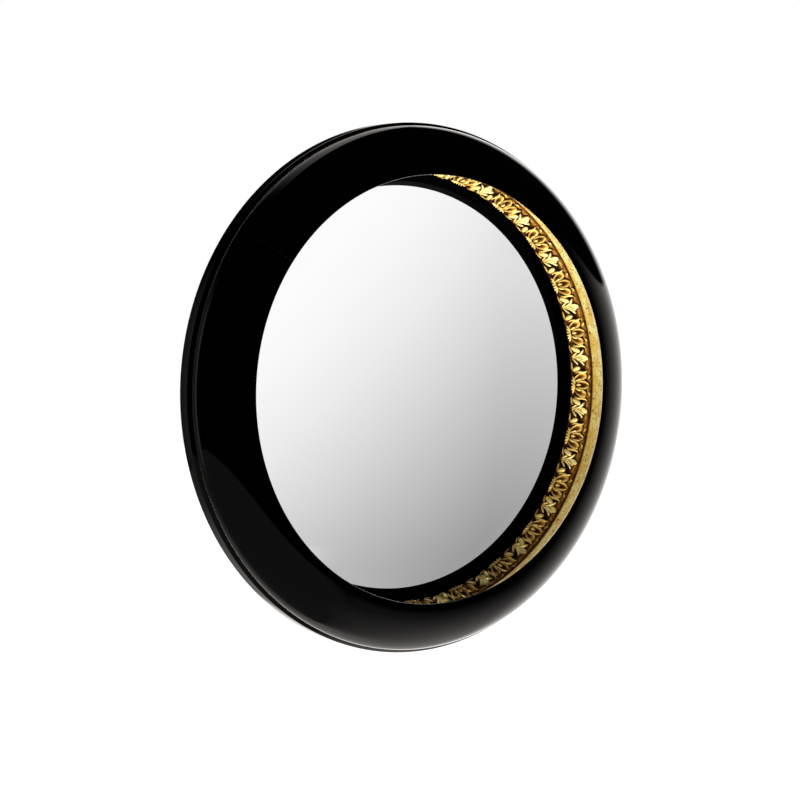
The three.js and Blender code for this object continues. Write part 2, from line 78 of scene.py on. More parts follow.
MM = 0.001
BODY = "mirror"
AXIS = (0.0, 1.0, 0.0)
RING_STEPS = 240  # steps round a full ring
JOINT_ANGLE = math.radians(-35)  # the diameter on which the rings are cut in halves
JOINT_GAP = 0.02 * MM  # between the halves
CLEARANCE = 0.3 * MM  # between two solids of the frame that touch
BORE_RADIUS = 438 * MM  # of the black rings and the carcass, round what they hold
SEAM_RADIUS = 490.3 * MM  # of the seam between the front ring and the rim ring
SIGHT_RADIUS = 388 * MM  # of the glass that shows
SIGHT_DEPTH = 30 * MM  # of the glass's face at that radius
SAME_PLACE = 1e-6  # points closer than this are one point
RELIEF = "relief"  # the attribute that holds how high a point of the carving lies, and on the bare ground a set mark; low values paint patina and painted shade

Outline = list[tuple[float, float]]  # (radius, depth) points


class Slot(Enum):
    """The record's material slots."""

    BLACK_LACQUER = "black_lacquer"
    GOLD_LEAF = "gold_leaf"
    CARVED_GOLD = "carved_gold"
    MIRROR_GLASS = "mirror_glass"
    RAW_WOOD = "raw_wood"
    STAINED_WOOD = "stained_wood"
    BACKING_BOARD = "backing_board"
    FELT = "felt"
    RUBBER = "rubber"
    ZINC_STEEL = "zinc_steel"


class Half(Enum):
    """The two halves of a ring, and the side of the joint plane that each lies on."""

    UPPER = 1
    LOWER = -1

    @property
    def label(self) -> str:
        """The half's name in lower case."""
        return self.name.lower()


class Side(Enum):
    """Left and right, as seen from in front."""

    LEFT = -1
    RIGHT = 1

    @property
    def label(self) -> str:
        """The side's name in lower case."""
        return self.name.lower()


# ---- Bench: selecting, editing and finishing one piece --------------------------------------


def only(piece: bpy.types.Object) -> None:
    """Leave one object selected and active.

    Args:
        piece: The object to work on.
    """
    bpy.ops.object.select_all(action="DESELECT")
    piece.select_set(True)
    bpy.context.view_layer.objects.active = piece


@contextmanager
def editing(piece: bpy.types.Object) -> Iterator[None]:
    """Hold a piece in edit mode.

    Args:
        piece: The mesh object to edit.
    """
    only(piece)
    bpy.ops.object.mode_set(mode="EDIT")
    bpy.ops.mesh.select_mode(type="VERT")
    try:
        yield
    finally:
        bpy.ops.object.mode_set(mode="OBJECT")


def pick(piece: bpy.types.Object, kind: str, test: Callable[[Vector], bool]) -> None:
    """Select the parts of a piece in edit mode whose middle passes a test.

    Args:
        piece: The piece that is being edited.
        kind: VERT, EDGE or FACE.
        test: Says whether a place is picked.
    """
    bpy.ops.mesh.select_mode(type=kind)
    bpy.ops.mesh.select_all(action="DESELECT")
    cage = bmesh.from_edit_mesh(piece.data)
    parts = {"VERT": cage.verts, "EDGE": cage.edges, "FACE": cage.faces}[kind]
    for part in parts:
        if kind == "VERT":
            middle = part.co
        else:
            middle = sum((v.co for v in part.verts), Vector()) / len(part.verts)
        part.select_set(test(middle))
    cage.select_flush_mode()
    bmesh.update_edit_mesh(piece.data)


def tidy(piece: bpy.types.Object, smooth_angle: float = 30) -> bpy.types.Object:
    """Merge doubled points, turn faces outwards and shade a piece.

    Args:
        piece: The closed piece to finish.
        smooth_angle: Edges sharper than this many degrees stay crisp.

    Returns:
        The same piece.
    """
    with editing(piece):
        bpy.ops.mesh.select_all(action="SELECT")
        bpy.ops.mesh.remove_doubles(threshold=SAME_PLACE)
        bpy.ops.mesh.normals_make_consistent(inside=False)
    only(piece)
    bpy.ops.object.shade_smooth_by_angle(angle=math.radians(smooth_angle))
    return piece


def settle(piece: bpy.types.Object) -> bpy.types.Object:
    """Move a piece's place, turn and size into its mesh.

    Args:
        piece: The piece to settle.

    Returns:
        The same piece, with its object at the origin.
    """
    only(piece)
    bpy.ops.object.transform_apply(location=True, rotation=True, scale=True)
    return piece


def copy_of(piece: bpy.types.Object, name: str) -> bpy.types.Object:
    """Copy a piece with a mesh of its own.

    Args:
        piece: The piece to copy.
        name: The copy's name.

    Returns:
        The copy.
    """
    only(piece)
    bpy.ops.object.duplicate()
    copy = bpy.context.active_object
    copy.name = copy.data.name = name
    return copy


def discard(*pieces: bpy.types.Object) -> None:
    """Delete pieces that were only patterns."""
    for piece in pieces:
        bpy.data.objects.remove(piece)


def join(name: str, pieces: Sequence[bpy.types.Object]) -> bpy.types.Object:
    """Join pieces into one object.

    Args:
        name: The joined piece's name.
        pieces: The pieces; the first one keeps its place in the scene.

    Returns:
        The joined piece.
    """
    bpy.ops.object.select_all(action="DESELECT")
    for piece in pieces:
        piece.select_set(True)
    bpy.context.view_layer.objects.active = pieces[0]
    bpy.ops.object.join()
    joined = bpy.context.active_object
    joined.name = joined.data.name = name
    return joined


def read_points(piece: bpy.types.Object) -> np.ndarray:
    """Read a piece's points.

    Args:
        piece: The piece.

    Returns:
        The points as rows of three.
    """
    flat = np.empty(len(piece.data.vertices) * 3, dtype=np.float32)
    piece.data.vertices.foreach_get("co", flat)
    return flat.reshape(-1, 3).astype(float)


def write_points(piece: bpy.types.Object, places: np.ndarray) -> None:
    """Move a piece's points.

    Args:
        piece: The piece.
        places: The new places as rows of three.
    """
    piece.data.vertices.foreach_set("co", places.astype(np.float32).ravel())
    piece.data.update()


def fit(piece: bpy.types.Object, paint: bpy.types.Material, slot: Slot, *nodes: str,
        body: str = BODY) -> bpy.types.Object:
    """Give a finished piece its material and its body, and hide the solids that it stands for.

    Args:
        piece: The finished piece.
        paint: Its material.
        slot: The record's slot that the material belongs to; it is not used.
        nodes: The solids that it replaces.
        body: The body that it moves with.

    Returns:
        The same piece.
    """
    piece.data.materials.clear()
    piece.data.materials.append(paint)
    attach(piece, body)
    if nodes:
        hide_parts(*nodes)
    LOG.info("%s: %d faces", piece.name, len(piece.data.polygons))
    return piece


def dress(node: str, paint: bpy.types.Material) -> None:
    """Paint a solid of the frame whose shape is kept.

    Args:
        node: The solid's name.
        paint: Its material.
    """
    solid = frame["nodes"][node]
    solid.data.materials.clear()
    solid.data.materials.append(paint)
    LOG.info("%s: painted", node)


# ---- Lathe: rings drawn as an outline and spun round the mirror's axis -----------------------


def reach(node: str) -> float:
    """How far a solid stands out from the mirror's axis, across or up."""
    low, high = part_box(node)
    return max(-low.x, high.x, -low.z, high.z)


def depths(node: str) -> tuple[float, float]:
    """The depths of a solid's rear and front."""
    low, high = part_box(node)
    return -high.y, -low.y


def bowed(start: tuple[float, float], end: tuple[float, float], bow: float, steps: int) -> Outline:
    """Points from one end to another, bowed sideways in the middle.

    Args:
        start: The first (radius, depth).
        end: The last (radius, depth).
        bow: How far the middle stands to the right of the straight line.
        steps: The number of steps.

    Returns:
        The points, with both ends.
    """
    along = Vector(end) - Vector(start)
    side = Vector((along.y, -along.x)).normalized()
    points = []
    for step in range(steps + 1):
        t = step / steps
        point = Vector(start) + along * t + side * (bow * 4 * t * (1 - t))
        points.append((point.x, point.y))
    return points


def round_corner(outline: Outline, corner: int, radius: float, steps: int = 4) -> Outline:
    """Round one corner of an outline.

    Args:
        outline: The outline.
        corner: The corner's index.
        radius: The length that the rounding takes from both sides.
        steps: Steps across the rounding.

    Returns:
        The outline with the corner replaced by a curve.
    """
    before, at, after = (Vector(outline[(corner + i) % len(outline)]) for i in (-1, 0, 1))
    start = at + (before - at).normalized() * radius
    end = at + (after - at).normalized() * radius
    curve = []
    for step in range(steps + 1):
        t = step / steps
        point = start * (1 - t) ** 2 + at * (2 * t * (1 - t)) + end * t**2
        curve.append((point.x, point.y))
    corner %= len(outline)
    return outline[:corner] + curve + outline[corner + 1:]


def draw(name: str, outline: Outline, closed: bool = True) -> bpy.types.Object:
    """Draw an outline by extruding one point from corner to corner.

    Args:
        name: The piece's name.
        outline: The corners, in the half plane at angle 0.
        closed: Whether the last corner joins the first.

    Returns:
        A piece that is only a line.
    """
    bpy.ops.object.select_all(action="DESELECT")
    bpy.ops.mesh.primitive_plane_add(size=MM)
    piece = bpy.context.active_object
    piece.name = piece.data.name = name
    corners = [Vector((radius, -depth, 0)) for radius, depth in outline]
    if closed:
        corners.append(corners[0])
    with editing(piece):
        bpy.ops.mesh.select_all(action="SELECT")
        bpy.ops.mesh.merge(type="CENTER")
        bpy.ops.transform.translate(value=corners[0])
        for start, end in pairwise(corners):
            bpy.ops.mesh.extrude_region_move(TRANSFORM_OT_translate={"value": end - start})
        bpy.ops.mesh.select_all(action="SELECT")
        bpy.ops.mesh.remove_doubles(threshold=SAME_PLACE / 10)
    return piece


def turned(name: str, outline: Outline, closed: bool = True, steps: int = RING_STEPS,
           place: tuple[float, float] = (0.0, 0.0)) -> bpy.types.Object:
    """Turn an outline round the mirror's axis, or round a line beside it.

    Args:
        name: The piece's name.
        outline: The section; an open one starts and ends on the axis.
        closed: Whether the section closes on itself.
        steps: Steps round a full turn.
        place: The (x, z) that the piece is centred on.

    Returns:
        A closed piece.
    """
    piece = draw(name, outline, closed)
    with editing(piece):
        bpy.ops.mesh.select_all(action="SELECT")
        bpy.ops.mesh.spin(steps=steps, angle=math.tau, center=(0, 0, 0), axis=AXIS)
    tidy(piece)
    if any(place):
        with editing(piece):
            bpy.ops.mesh.select_all(action="SELECT")
            bpy.ops.transform.translate(value=(place[0], 0, place[1]))
    return piece


def split(ring: bpy.types.Object, name: str, ease: float) -> dict[Half, bpy.types.Object]:
    """Cut a ring into the halves on each side of the joint, with eased edges at the cut.

    Args:
        ring: The whole ring, which is used up.
        name: The halves' name, which gets the half's label added.
        ease: The bevel on the edges of the cut.

    Returns:
        The two halves.
    """
    up = Vector((-math.sin(JOINT_ANGLE), 0, math.cos(JOINT_ANGLE)))
    halves = {}
    for half in Half:
        piece = copy_of(ring, f"{name}_{half.label}")
        outward = up * half.value
        with editing(piece):
            bpy.ops.mesh.select_all(action="SELECT")
            bpy.ops.mesh.bisect(plane_co=outward * JOINT_GAP / 2, plane_no=outward,
                                use_fill=True, clear_inner=True, threshold=SAME_PLACE)
            pick(piece, "FACE",
                 lambda at, n=outward: abs(at.dot(n) - JOINT_GAP / 2) < SAME_PLACE)
            bpy.ops.mesh.region_to_loop()
            bpy.ops.mesh.bevel(offset=ease, segments=1, affect="EDGES", clamp_overlap=True)
        halves[half] = tidy(piece)
    discard(ring)
    return halves


# ---- Finishes -------------------------------------------------------------------------------


class Tree:
    """A node tree, with short calls that add nodes and join them."""

    def __init__(self, tree: bpy.types.NodeTree) -> None:
        """Take up a tree.

        Args:
            tree: The node tree of a material or of the world.
        """
        self.nodes = tree.nodes
        self.links = tree.links

    def add(self, kind: str, settings: dict | None = None, **inputs: object) -> bpy.types.Node:
        """Add a node.

        Args:
            kind: The node's type without its ShaderNode prefix.
            settings: The node's own properties.
            inputs: Sockets by name, as values or as sockets to join from.

        Returns:
            The node.
        """
        node = self.nodes.new(f"ShaderNode{kind}")
        for key, value in (settings or {}).items():
            setattr(node, key, value)
        for key, value in inputs.items():
            self.feed(node.inputs[key.replace("_", " ")], value)
        return node

    def feed(self, socket: bpy.types.NodeSocket, value: object) -> None:
        """Join a socket to another, or set its value.

        Args:
            socket: The socket to feed.
            value: A socket, or a value.
        """
        if isinstance(value, bpy.types.NodeSocket):
            self.links.new(value, socket)
        else:
            socket.default_value = value

    def math(self, operation: str, a: object, b: object = 0.0) -> bpy.types.NodeSocket:
        """Add one arithmetic step.

        Args:
            operation: The Math node's operation.
            a: The first number or socket.
            b: The second number or socket.

        Returns:
            The result.
        """
        node = self.add("Math", {"operation": operation})
        self.feed(node.inputs[0], a)
        self.feed(node.inputs[1], b)
        return node.outputs[0]

    def product(self, *factors: object) -> bpy.types.NodeSocket:
        """Multiply several numbers or sockets."""
        return reduce(lambda a, b: self.math("MULTIPLY", a, b), factors)

    def step(self, value: bpy.types.NodeSocket, start: float,
             end: float) -> bpy.types.NodeSocket:
        """Add a smooth step.

        Args:
            value: The number.
            start: Where the step is 0; it may be above the end.
            end: Where the step is 1.

        Returns:
            The step, from 0 to 1.
        """
        kind = {"interpolation_type": "SMOOTHSTEP"}
        low, high = sorted((start, end))
        rising = start < end
        return self.add("MapRange", kind, Value=value, From_Min=low, From_Max=high,
                        To_Min=float(not rising), To_Max=float(rising)).outputs["Result"]

    def facing(self, where: bpy.types.NodeSocket, towards: Vector) -> bpy.types.NodeSocket:
        """Measure how far a direction points towards another.

        Args:
            where: The direction.
            towards: The unit vector to compare it with.

        Returns:
            A number from -1 to 1.
        """
        node = self.add("VectorMath", {"operation": "DOT_PRODUCT"})
        self.feed(node.inputs[0], where)
        self.feed(node.inputs[1], towards)
        return node.outputs["Value"]

    def ramp(self, fac: bpy.types.NodeSocket, *stops: tuple[float, object]) -> bpy.types.NodeSocket:
        """Turn a number into a colour or a grey.

        Args:
            fac: The number.
            stops: (place, grey or colour) pairs.

        Returns:
            The colour.
        """
        node = self.add("ValToRGB", Fac=fac)
        marks = node.color_ramp.elements
        while len(marks) < len(stops):
            marks.new(0.5)
        for mark, (place, tone) in zip(marks, stops):
            mark.position = place
            mark.color = (tone, tone, tone, 1) if isinstance(tone, float) else (*tone, 1)
        return node.outputs["Color"]


class Sheet(Tree):
    """A material's node tree."""

    def __init__(self, name: str, **sockets: object) -> None:
        """Start a material with one surface shader.

        Args:
            name: The material's name.
            sockets: Values that are the same all over, by socket name with _ for spaces.
        """
        self.material = bpy.data.materials.new(name)
        self.material.use_nodes = True
        super().__init__(self.material.node_tree)
        self.shader = self.nodes["Principled BSDF"]
        for socket, value in sockets.items():
            self.shader.inputs[socket.replace("_", " ")].default_value = value

    def place(self, scale: Sequence[float] = (1, 1, 1)) -> bpy.types.NodeSocket:
        """Object coordinates, stretched along the axes.

        Args:
            scale: The stretch along X, Y and Z.

        Returns:
            The coordinates.
        """
        where = self.add("TexCoord").outputs["Object"]
        return self.add("Mapping", Vector=where, Scale=scale).outputs["Vector"]

    def round_place(self) -> bpy.types.NodeSocket:
        """Coordinates that follow a ring.

        Returns:
            (arc length at a radius of half a metre, Y, radius).
        """
        split = self.add("SeparateXYZ", Vector=self.add("TexCoord").outputs["Object"])
        x, y, z = (split.outputs[i] for i in range(3))
        angle = self.math("ARCTAN2", z, x)
        radius = self.math("SQRT", self.math("ADD", self.math("MULTIPLY", x, x),
                                             self.math("MULTIPLY", z, z)))
        arc = self.math("MULTIPLY", angle, 0.5)
        return self.add("CombineXYZ", X=arc, Y=y, Z=radius).outputs["Vector"]

    def noise(self, where: bpy.types.NodeSocket, scale: float, detail: float = 3,
              roughness: float = 0.5) -> bpy.types.NodeSocket:
        """Smooth noise from 0 to 1."""
        return self.add("TexNoise", Vector=where, Scale=scale, Detail=detail,
                        Roughness=roughness).outputs["Fac"]

    def cracks(self, where: bpy.types.NodeSocket, scale: float) -> bpy.types.NodeSocket:
        """The distance to the edge of the nearest irregular cell."""
        return self.add("TexVoronoi", {"feature": "DISTANCE_TO_EDGE"}, Vector=where,
                        Scale=scale).outputs["Distance"]

    def spots(self, where: bpy.types.NodeSocket, scale: float) -> bpy.types.NodeSocket:
        """The distance to the nearest of many scattered points."""
        return self.add("TexVoronoi", Vector=where, Scale=scale).outputs["Distance"]

    def mix(self, fac: object, a: object, b: object, blend: str = "MIX") -> bpy.types.NodeSocket:
        """Mix two colours.

        Args:
            fac: The share of the second colour.
            a: The first colour.
            b: The second colour.
            blend: The Mix node's blend type.

        Returns:
            The mixed colour.
        """
        node = self.add("Mix", {"data_type": "RGBA", "blend_type": blend})
        for socket, value in zip((node.inputs[0], node.inputs[6], node.inputs[7]), (fac, a, b)):
            if isinstance(value, tuple):
                value = (*value, 1)
            self.feed(socket, value)
        return node.outputs[2]

    def bump(self, height: bpy.types.NodeSocket, distance: float, strength: float = 1.0,
             under: bpy.types.NodeSocket | None = None) -> bpy.types.NodeSocket:
        """A surface normal from a height.

        Args:
            height: The height, from 0 to 1.
            distance: The relief in metres between 0 and 1.
            strength: The share of it that shows.
            under: A normal that this one is laid over.

        Returns:
            The normal.
        """
        node = self.add("Bump", Height=height, Distance=distance, Strength=strength)
        if under is not None:
            self.feed(node.inputs["Normal"], under)
        return node.outputs["Normal"]

    def set(self, **sockets: object) -> bpy.types.Material:
        """Feed the shader's sockets.

        Args:
            sockets: Values or sockets, by the shader's socket name with _ for spaces.

        Returns:
            The material.
        """
        for socket, value in sockets.items():
            self.feed(self.shader.inputs[socket.replace("_", " ")], value)
        return self.material


@dataclass(frozen=True)
class BlackLacquer:
    """Deep black polished lacquer, with a little orange peel, hairlines and dust."""

    base: float = 0.0008
    roughness: float = 0.045
    peel: float = 0.002 * MM
    coat: float = 1.0

    def material(self) -> bpy.types.Material:
        """Make the material.

        Returns:
            The material.
        """
        sheet = Sheet("black_lacquer", IOR=1.5, Specular_IOR_Level=0.06, Coat_Weight=self.coat,
                      Coat_Roughness=0.012, Coat_IOR=1.48)
        where = sheet.place()
        dust = sheet.ramp(sheet.spots(where, 210), (0.0, 1.0), (0.035, 0.0))
        sparse = sheet.ramp(sheet.noise(where, 9, 2), (0.62, 0.0), (0.7, 1.0))
        specks = sheet.mix(1.0, dust, sparse, "MULTIPLY")
        deep = (self.base, self.base, self.base * 1.1)
        colour = sheet.mix(specks, deep, (0.12, 0.12, 0.13))
        hairlines = sheet.noise(sheet.place((40, 900, 40)), 1.2, 2)
        rough = sheet.ramp(hairlines, (0.35, self.roughness * 0.8), (0.75, self.roughness * 1.7))
        peel = sheet.bump(sheet.noise(where, 260, 1), self.peel)
        return sheet.set(Base_Color=colour, Roughness=rough, Normal=peel)


@dataclass(frozen=True)
class GoldLeaf:
    """Pale gold leaf on a smooth cove, finely crazed, with dark flecks and worn patches, turning
    amber and dark brown at its foot with patina and painted shade.
    """

    pale: tuple[float, float, float] = (0.82, 0.75, 0.31)
    warm: tuple[float, float, float] = (0.70, 0.43, 0.05)
    crack: tuple[float, float, float] = (0.38, 0.18, 0.02)
    streak: tuple[float, float, float] = (0.88, 0.78, 0.28)
    fleck: tuple[float, float, float] = (0.16, 0.06, 0.01)
    # amber and the colour below it: patina together with painted shade at the leaf's foot next to
    # the groove
    amber: tuple[float, float, float] = (0.55, 0.27, 0.03)
    patina: tuple[float, float, float] = (0.10, 0.035, 0.006)
    foot: float = 97.5 * MM  # the depth where patina and painted shade of the groove darken the leaf
    foot_width: float = 8 * MM

    def material(self) -> bpy.types.Material:
        """Make the material.

        Returns:
            The material.
        """
        sheet = Sheet("gold_leaf", Metallic=0.25, Specular_IOR_Level=0.12,
                      Specular_Tint=(1.0, 0.74, 0.28, 1.0))
        ring = sheet.round_place()
        broad = sheet.noise(ring, 34, 4, 0.6)
        tone = sheet.mix(sheet.ramp(broad, (0.43, 0.0), (0.57, 1.0)), self.pale, self.warm)
        across = sheet.add("Mapping", Vector=ring, Scale=(1, 0.3, 1)).outputs["Vector"]
        craze = sheet.ramp(sheet.cracks(across, 120), (0.0, 1.0), (0.07, 0.0))
        tone = sheet.mix(sheet.math("MULTIPLY", craze, 0.85), tone, self.crack)
        streaks = sheet.ramp(sheet.noise(across, 210, 4, 0.65), (0.42, 0.0), (0.62, 0.4))
        tone = sheet.mix(streaks, tone, self.streak)
        dots = sheet.ramp(sheet.spots(ring, 95), (0.20, 1.0), (0.36, 0.0))
        keep = sheet.ramp(sheet.noise(ring, 42, 2), (0.47, 0.0), (0.53, 1.0))
        flecks = sheet.mix(1.0, dots, keep, "MULTIPLY")
        tone = sheet.mix(flecks, tone, self.fleck)
        depth = sheet.math("MULTIPLY", sheet.add("SeparateXYZ", Vector=ring).outputs["Y"], -1.0)
        foot = sheet.math("DIVIDE", sheet.math("SUBTRACT", depth, self.foot), self.foot_width)
        foot = sheet.math("ADD", foot, sheet.math("MULTIPLY", sheet.math(
            "SUBTRACT", broad, 0.5), 0.5))
        # patina and painted shade: the leaf turns amber, then dark brown, towards its foot by the
        # groove
        tone = sheet.mix(sheet.ramp(foot, (0.0, 1.0), (0.9, 0.0)), tone, self.amber)
        tone = sheet.mix(sheet.ramp(foot, (0.05, 1.0), (0.4, 0.0)), tone, self.patina)
        fine = sheet.noise(ring, 420, 3)
        rough = sheet.ramp(sheet.noise(ring, 90, 3), (0.3, 0.36), (0.75, 0.56))
        normal = sheet.bump(fine, 0.10 * MM)
        normal = sheet.bump(sheet.noise(across, 60, 3), 1.2 * MM, 0.8, normal)
        normal = sheet.bump(craze, -0.20 * MM, 1.0, normal)
        return sheet.set(Base_Color=tone, Roughness=rough, Normal=normal)


@dataclass(frozen=True)
class CarvedGold:
    """Gold leaf on carving, coloured by height: pale on the crests, orange lower down, dark brown
    in the hollows, which is patina and painted shade.
    """

    # colours from the crests down; the orange and dark brown low down are patina and painted shade
    # of the hollows
    crest: tuple[float, float, float] = (0.92, 0.83, 0.40)
    slope: tuple[float, float, float] = (0.74, 0.53, 0.15)
    low: tuple[float, float, float] = (0.27, 0.10, 0.012)
    hollow: tuple[float, float, float] = (0.022, 0.008, 0.002)

    def material(self) -> bpy.types.Material:
        """Make the material.

        Returns:
            The material.
        """
        sheet = Sheet("carved_gold", Metallic=0.32, Specular_IOR_Level=0.2,
                      Specular_Tint=(1.0, 0.80, 0.40, 1.0))
        where = sheet.place()
        relief = sheet.add("Attribute", {"attribute_name": RELIEF}).outputs["Fac"]
        mottle = sheet.noise(where, 130, 3)
        shifted = sheet.math("ADD", relief, sheet.math("MULTIPLY", sheet.math(
            "SUBTRACT", mottle, 0.5), 0.30))
        # patina and painted shade: the lower a point lies, the darker brown it is
        tone = sheet.ramp(shifted, (0.14, self.hollow), (0.33, self.low), (0.52, self.slope),
                          (0.72, self.crest))
        rough = sheet.ramp(shifted, (0.1, 0.9), (0.55, 0.46), (0.9, 0.30))
        normal = sheet.bump(sheet.noise(where, 600, 3), 0.12 * MM)
        normal = sheet.bump(mottle, 0.35 * MM, 0.8, normal)
        return sheet.set(Base_Color=tone, Roughness=rough, Normal=normal)


@dataclass(frozen=True)
class SilveredGlass:
    """Glass silvered on its back, with the faintest haze."""

    silver: tuple[float, float, float] = (0.98, 0.98, 0.98)

    def material(self) -> bpy.types.Material:
        """Make the material.

        Returns:
            The material.
        """
        sheet = Sheet("mirror_glass", Metallic=1.0)
        where = sheet.place()
        haze = sheet.noise(where, 3.5, 2)
        tone = sheet.mix(sheet.ramp(haze, (0.3, 0.0), (0.8, 0.4)), self.silver, (0.95, 0.95, 0.95))
        rough = sheet.ramp(haze, (0.3, 0.004), (0.8, 0.012))
        return sheet.set(Base_Color=tone, Roughness=rough)


@dataclass(frozen=True)
class Wood:
    """Wood whose grain runs round the ring."""

    name: str
    light: tuple[float, float, float]
    dark: tuple[float, float, float]
    roughness: float

    def material(self) -> bpy.types.Material:
        """Make the material.

        Returns:
            The material.
        """
        sheet = Sheet(self.name)
        ring = sheet.add("Mapping", Vector=sheet.round_place(), Scale=(4, 90, 90))
        grain = sheet.noise(ring.outputs["Vector"], 2.2, 5, 0.62)
        pores = sheet.noise(sheet.place((900, 900, 900)), 1, 2)
        tone = sheet.mix(sheet.ramp(grain, (0.32, 0.0), (0.66, 1.0)), self.light, self.dark)
        rough = sheet.ramp(pores, (0.3, self.roughness), (0.8, min(1.0, self.roughness + 0.15)))
        normal = sheet.bump(grain, 0.3 * MM, 0.7, sheet.bump(pores, 0.1 * MM))
        return sheet.set(Base_Color=tone, Roughness=rough, Normal=normal)


@dataclass(frozen=True)
class Fibreboard:
    """Brown hardboard, flecked with fibres."""

    light: tuple[float, float, float] = (0.30, 0.185, 0.095)
    dark: tuple[float, float, float] = (0.17, 0.095, 0.045)

    def material(self) -> bpy.types.Material:
        """Make the material.

        Returns:
            The material.
        """
        sheet = Sheet("backing_board")
        fibres = sheet.noise(sheet.place((1, 1, 2.2)), 190, 6, 0.7)
        clouds = sheet.noise(sheet.place(), 9, 3)
        tone = sheet.mix(sheet.ramp(fibres, (0.3, 0.0), (0.7, 1.0)), self.light, self.dark)
        tone = sheet.mix(sheet.ramp(clouds, (0.35, 0.0), (0.75, 0.35)), tone, (0.36, 0.24, 0.14))
        rough = sheet.ramp(fibres, (0.3, 0.62), (0.7, 0.85))
        return sheet.set(Base_Color=tone, Roughness=rough, Normal=sheet.bump(fibres, 0.25 * MM))


@dataclass(frozen=True)
class Felt:
    """Grey pressed felt."""

    def material(self) -> bpy.types.Material:
        """Make the material.

        Returns:
            The material.
        """
        sheet = Sheet("felt", Sheen_Weight=0.4)
        fuzz = sheet.noise(sheet.place(), 1400, 4, 0.7)
        tone = sheet.mix(fuzz, (0.045, 0.045, 0.048), (0.11, 0.11, 0.115))
        rough = sheet.ramp(fuzz, (0.2, 0.88), (0.8, 1.0))
        return sheet.set(Base_Color=tone, Roughness=rough, Normal=sheet.bump(fuzz, 0.4 * MM))


@dataclass(frozen=True)
class Rubber:
    """Black moulded rubber with a dusty bloom."""

    def material(self) -> bpy.types.Material:
        """Make the material.

        Returns:
            The material.
        """
        sheet = Sheet("rubber")
        grain = sheet.noise(sheet.place(), 900, 3)
        bloom = sheet.ramp(sheet.noise(sheet.place(), 60, 3), (0.45, 0.0), (0.8, 1.0))
        tone = sheet.mix(bloom, (0.012, 0.012, 0.012), (0.035, 0.034, 0.032))
        rough = sheet.ramp(grain, (0.3, 0.55), (0.8, 0.8))
        return sheet.set(Base_Color=tone, Roughness=rough, Normal=sheet.bump(grain, 0.08 * MM))


@dataclass(frozen=True)
class ZincSteel:
    """Zinc plated steel, clouded and lightly scratched."""

    def material(self) -> bpy.types.Material:
        """Make the material.

        Returns:
            The material.
        """
        sheet = Sheet("zinc_steel", Metallic=1.0)
        clouds = sheet.noise(sheet.place(), 140, 3)
        scratches = sheet.noise(sheet.place((60, 1, 900)), 6, 2)
        tone = sheet.mix(sheet.ramp(clouds, (0.35, 0.0), (0.7, 1.0)), (0.62, 0.64, 0.67),
                         (0.44, 0.45, 0.47))
        rough = sheet.ramp(clouds, (0.3, 0.24), (0.75, 0.42))
        return sheet.set(Base_Color=tone, Roughness=rough,
                         Normal=sheet.bump(scratches, 0.03 * MM))


class Finishes:
    """Every material of the mirror, made once."""

    def __init__(self) -> None:
        """Make the materials."""
        self.lacquer = BlackLacquer().material()
        self.inner_lacquer = BlackLacquer(roughness=0.2, coat=0.12).material()
        self.leaf = GoldLeaf().material()
        self.carving = CarvedGold().material()
        self.glass = SilveredGlass().material()
        self.raw_wood = Wood("raw_wood", (0.46, 0.31, 0.17), (0.32, 0.19, 0.09), 0.6).material()
        self.stained = Wood("stained_wood", (0.022, 0.019, 0.017), (0.010, 0.009, 0.008),
                            0.5).material()
        self.board = Fibreboard().material()
        self.felt = Felt().material()
        self.rubber = Rubber().material()
        self.steel = ZincSteel().material()


# ---- Frame: the black rings -----------------------------------------------------------------


@dataclass
class FrontRing:
    """The bullnose of the frame, in two half rings, from the seam up to the lip."""

    lip_radius: float = 396 * MM
    lip_round: float = 1.5 * MM
    lip_thickness: float = 4 * MM
    seam_radius: float = SEAM_RADIUS
    seam_ease: float = 1.1 * MM
    dome_exponent: float = 1.8  # 2 is a quarter ellipse, 1 is a straight bevel
    dome_steps: int = 40
    lip_steps: int = 8
    bore_radius: float = BORE_RADIUS
    heel_depth: float = 109.8 * MM
    edge_inset: float = 1.4 * MM
    shoulder_inset: float = 6.3 * MM
    shoulder_drop: float = 5.7 * MM
    joint_ease: float = 0.006 * MM

    def outline(self) -> Outline:
        """The section: the flat foot, the dome, the rounded lip and the hidden back.

        Returns:
            The (radius, depth) points.
        """
        foot, lip = depths("front_ring_upper")
        width = self.seam_radius - self.lip_radius - self.lip_round
        points = [(self.bore_radius, foot)]
        for step in range(self.dome_steps + 1):
            turn = math.pi / 2 * step / self.dome_steps
            across = abs(math.cos(turn)) ** (2 / self.dome_exponent)
            up = math.sin(turn) ** (2 / self.dome_exponent)
            points.append((self.lip_radius + self.lip_round + width * across,
                           foot + (lip - foot) * up))
        for step in range(1, self.lip_steps + 1):
            turn = math.pi / 2 * (1 + step / self.lip_steps)
            points.append((self.lip_radius + self.lip_round * (1 + math.cos(turn)),
                           lip - self.lip_round * (1 - math.sin(turn))))
        points.append((self.lip_radius + self.edge_inset, lip - self.lip_thickness + CLEARANCE))
        points.append((self.lip_radius + self.shoulder_inset, lip - self.shoulder_drop))
        points.append((self.bore_radius, self.heel_depth))
        return round_corner(points, 1, self.seam_ease)

    def build(self, finishes: Finishes) -> None:
        """Turn the ring, cut it at the joint and lacquer it.

        Args:
            finishes: The mirror's finishes.
        """
        ring = turned("front_ring", self.outline())
        for half, piece in split(ring, "front_bullnose", self.joint_ease).items():
            fit(piece, finishes.lacquer, Slot.BLACK_LACQUER, f"front_ring_{half.label}")
        for number in (1, 2):
            dress(f"front_ring_tongue_{number}", finishes.raw_wood)


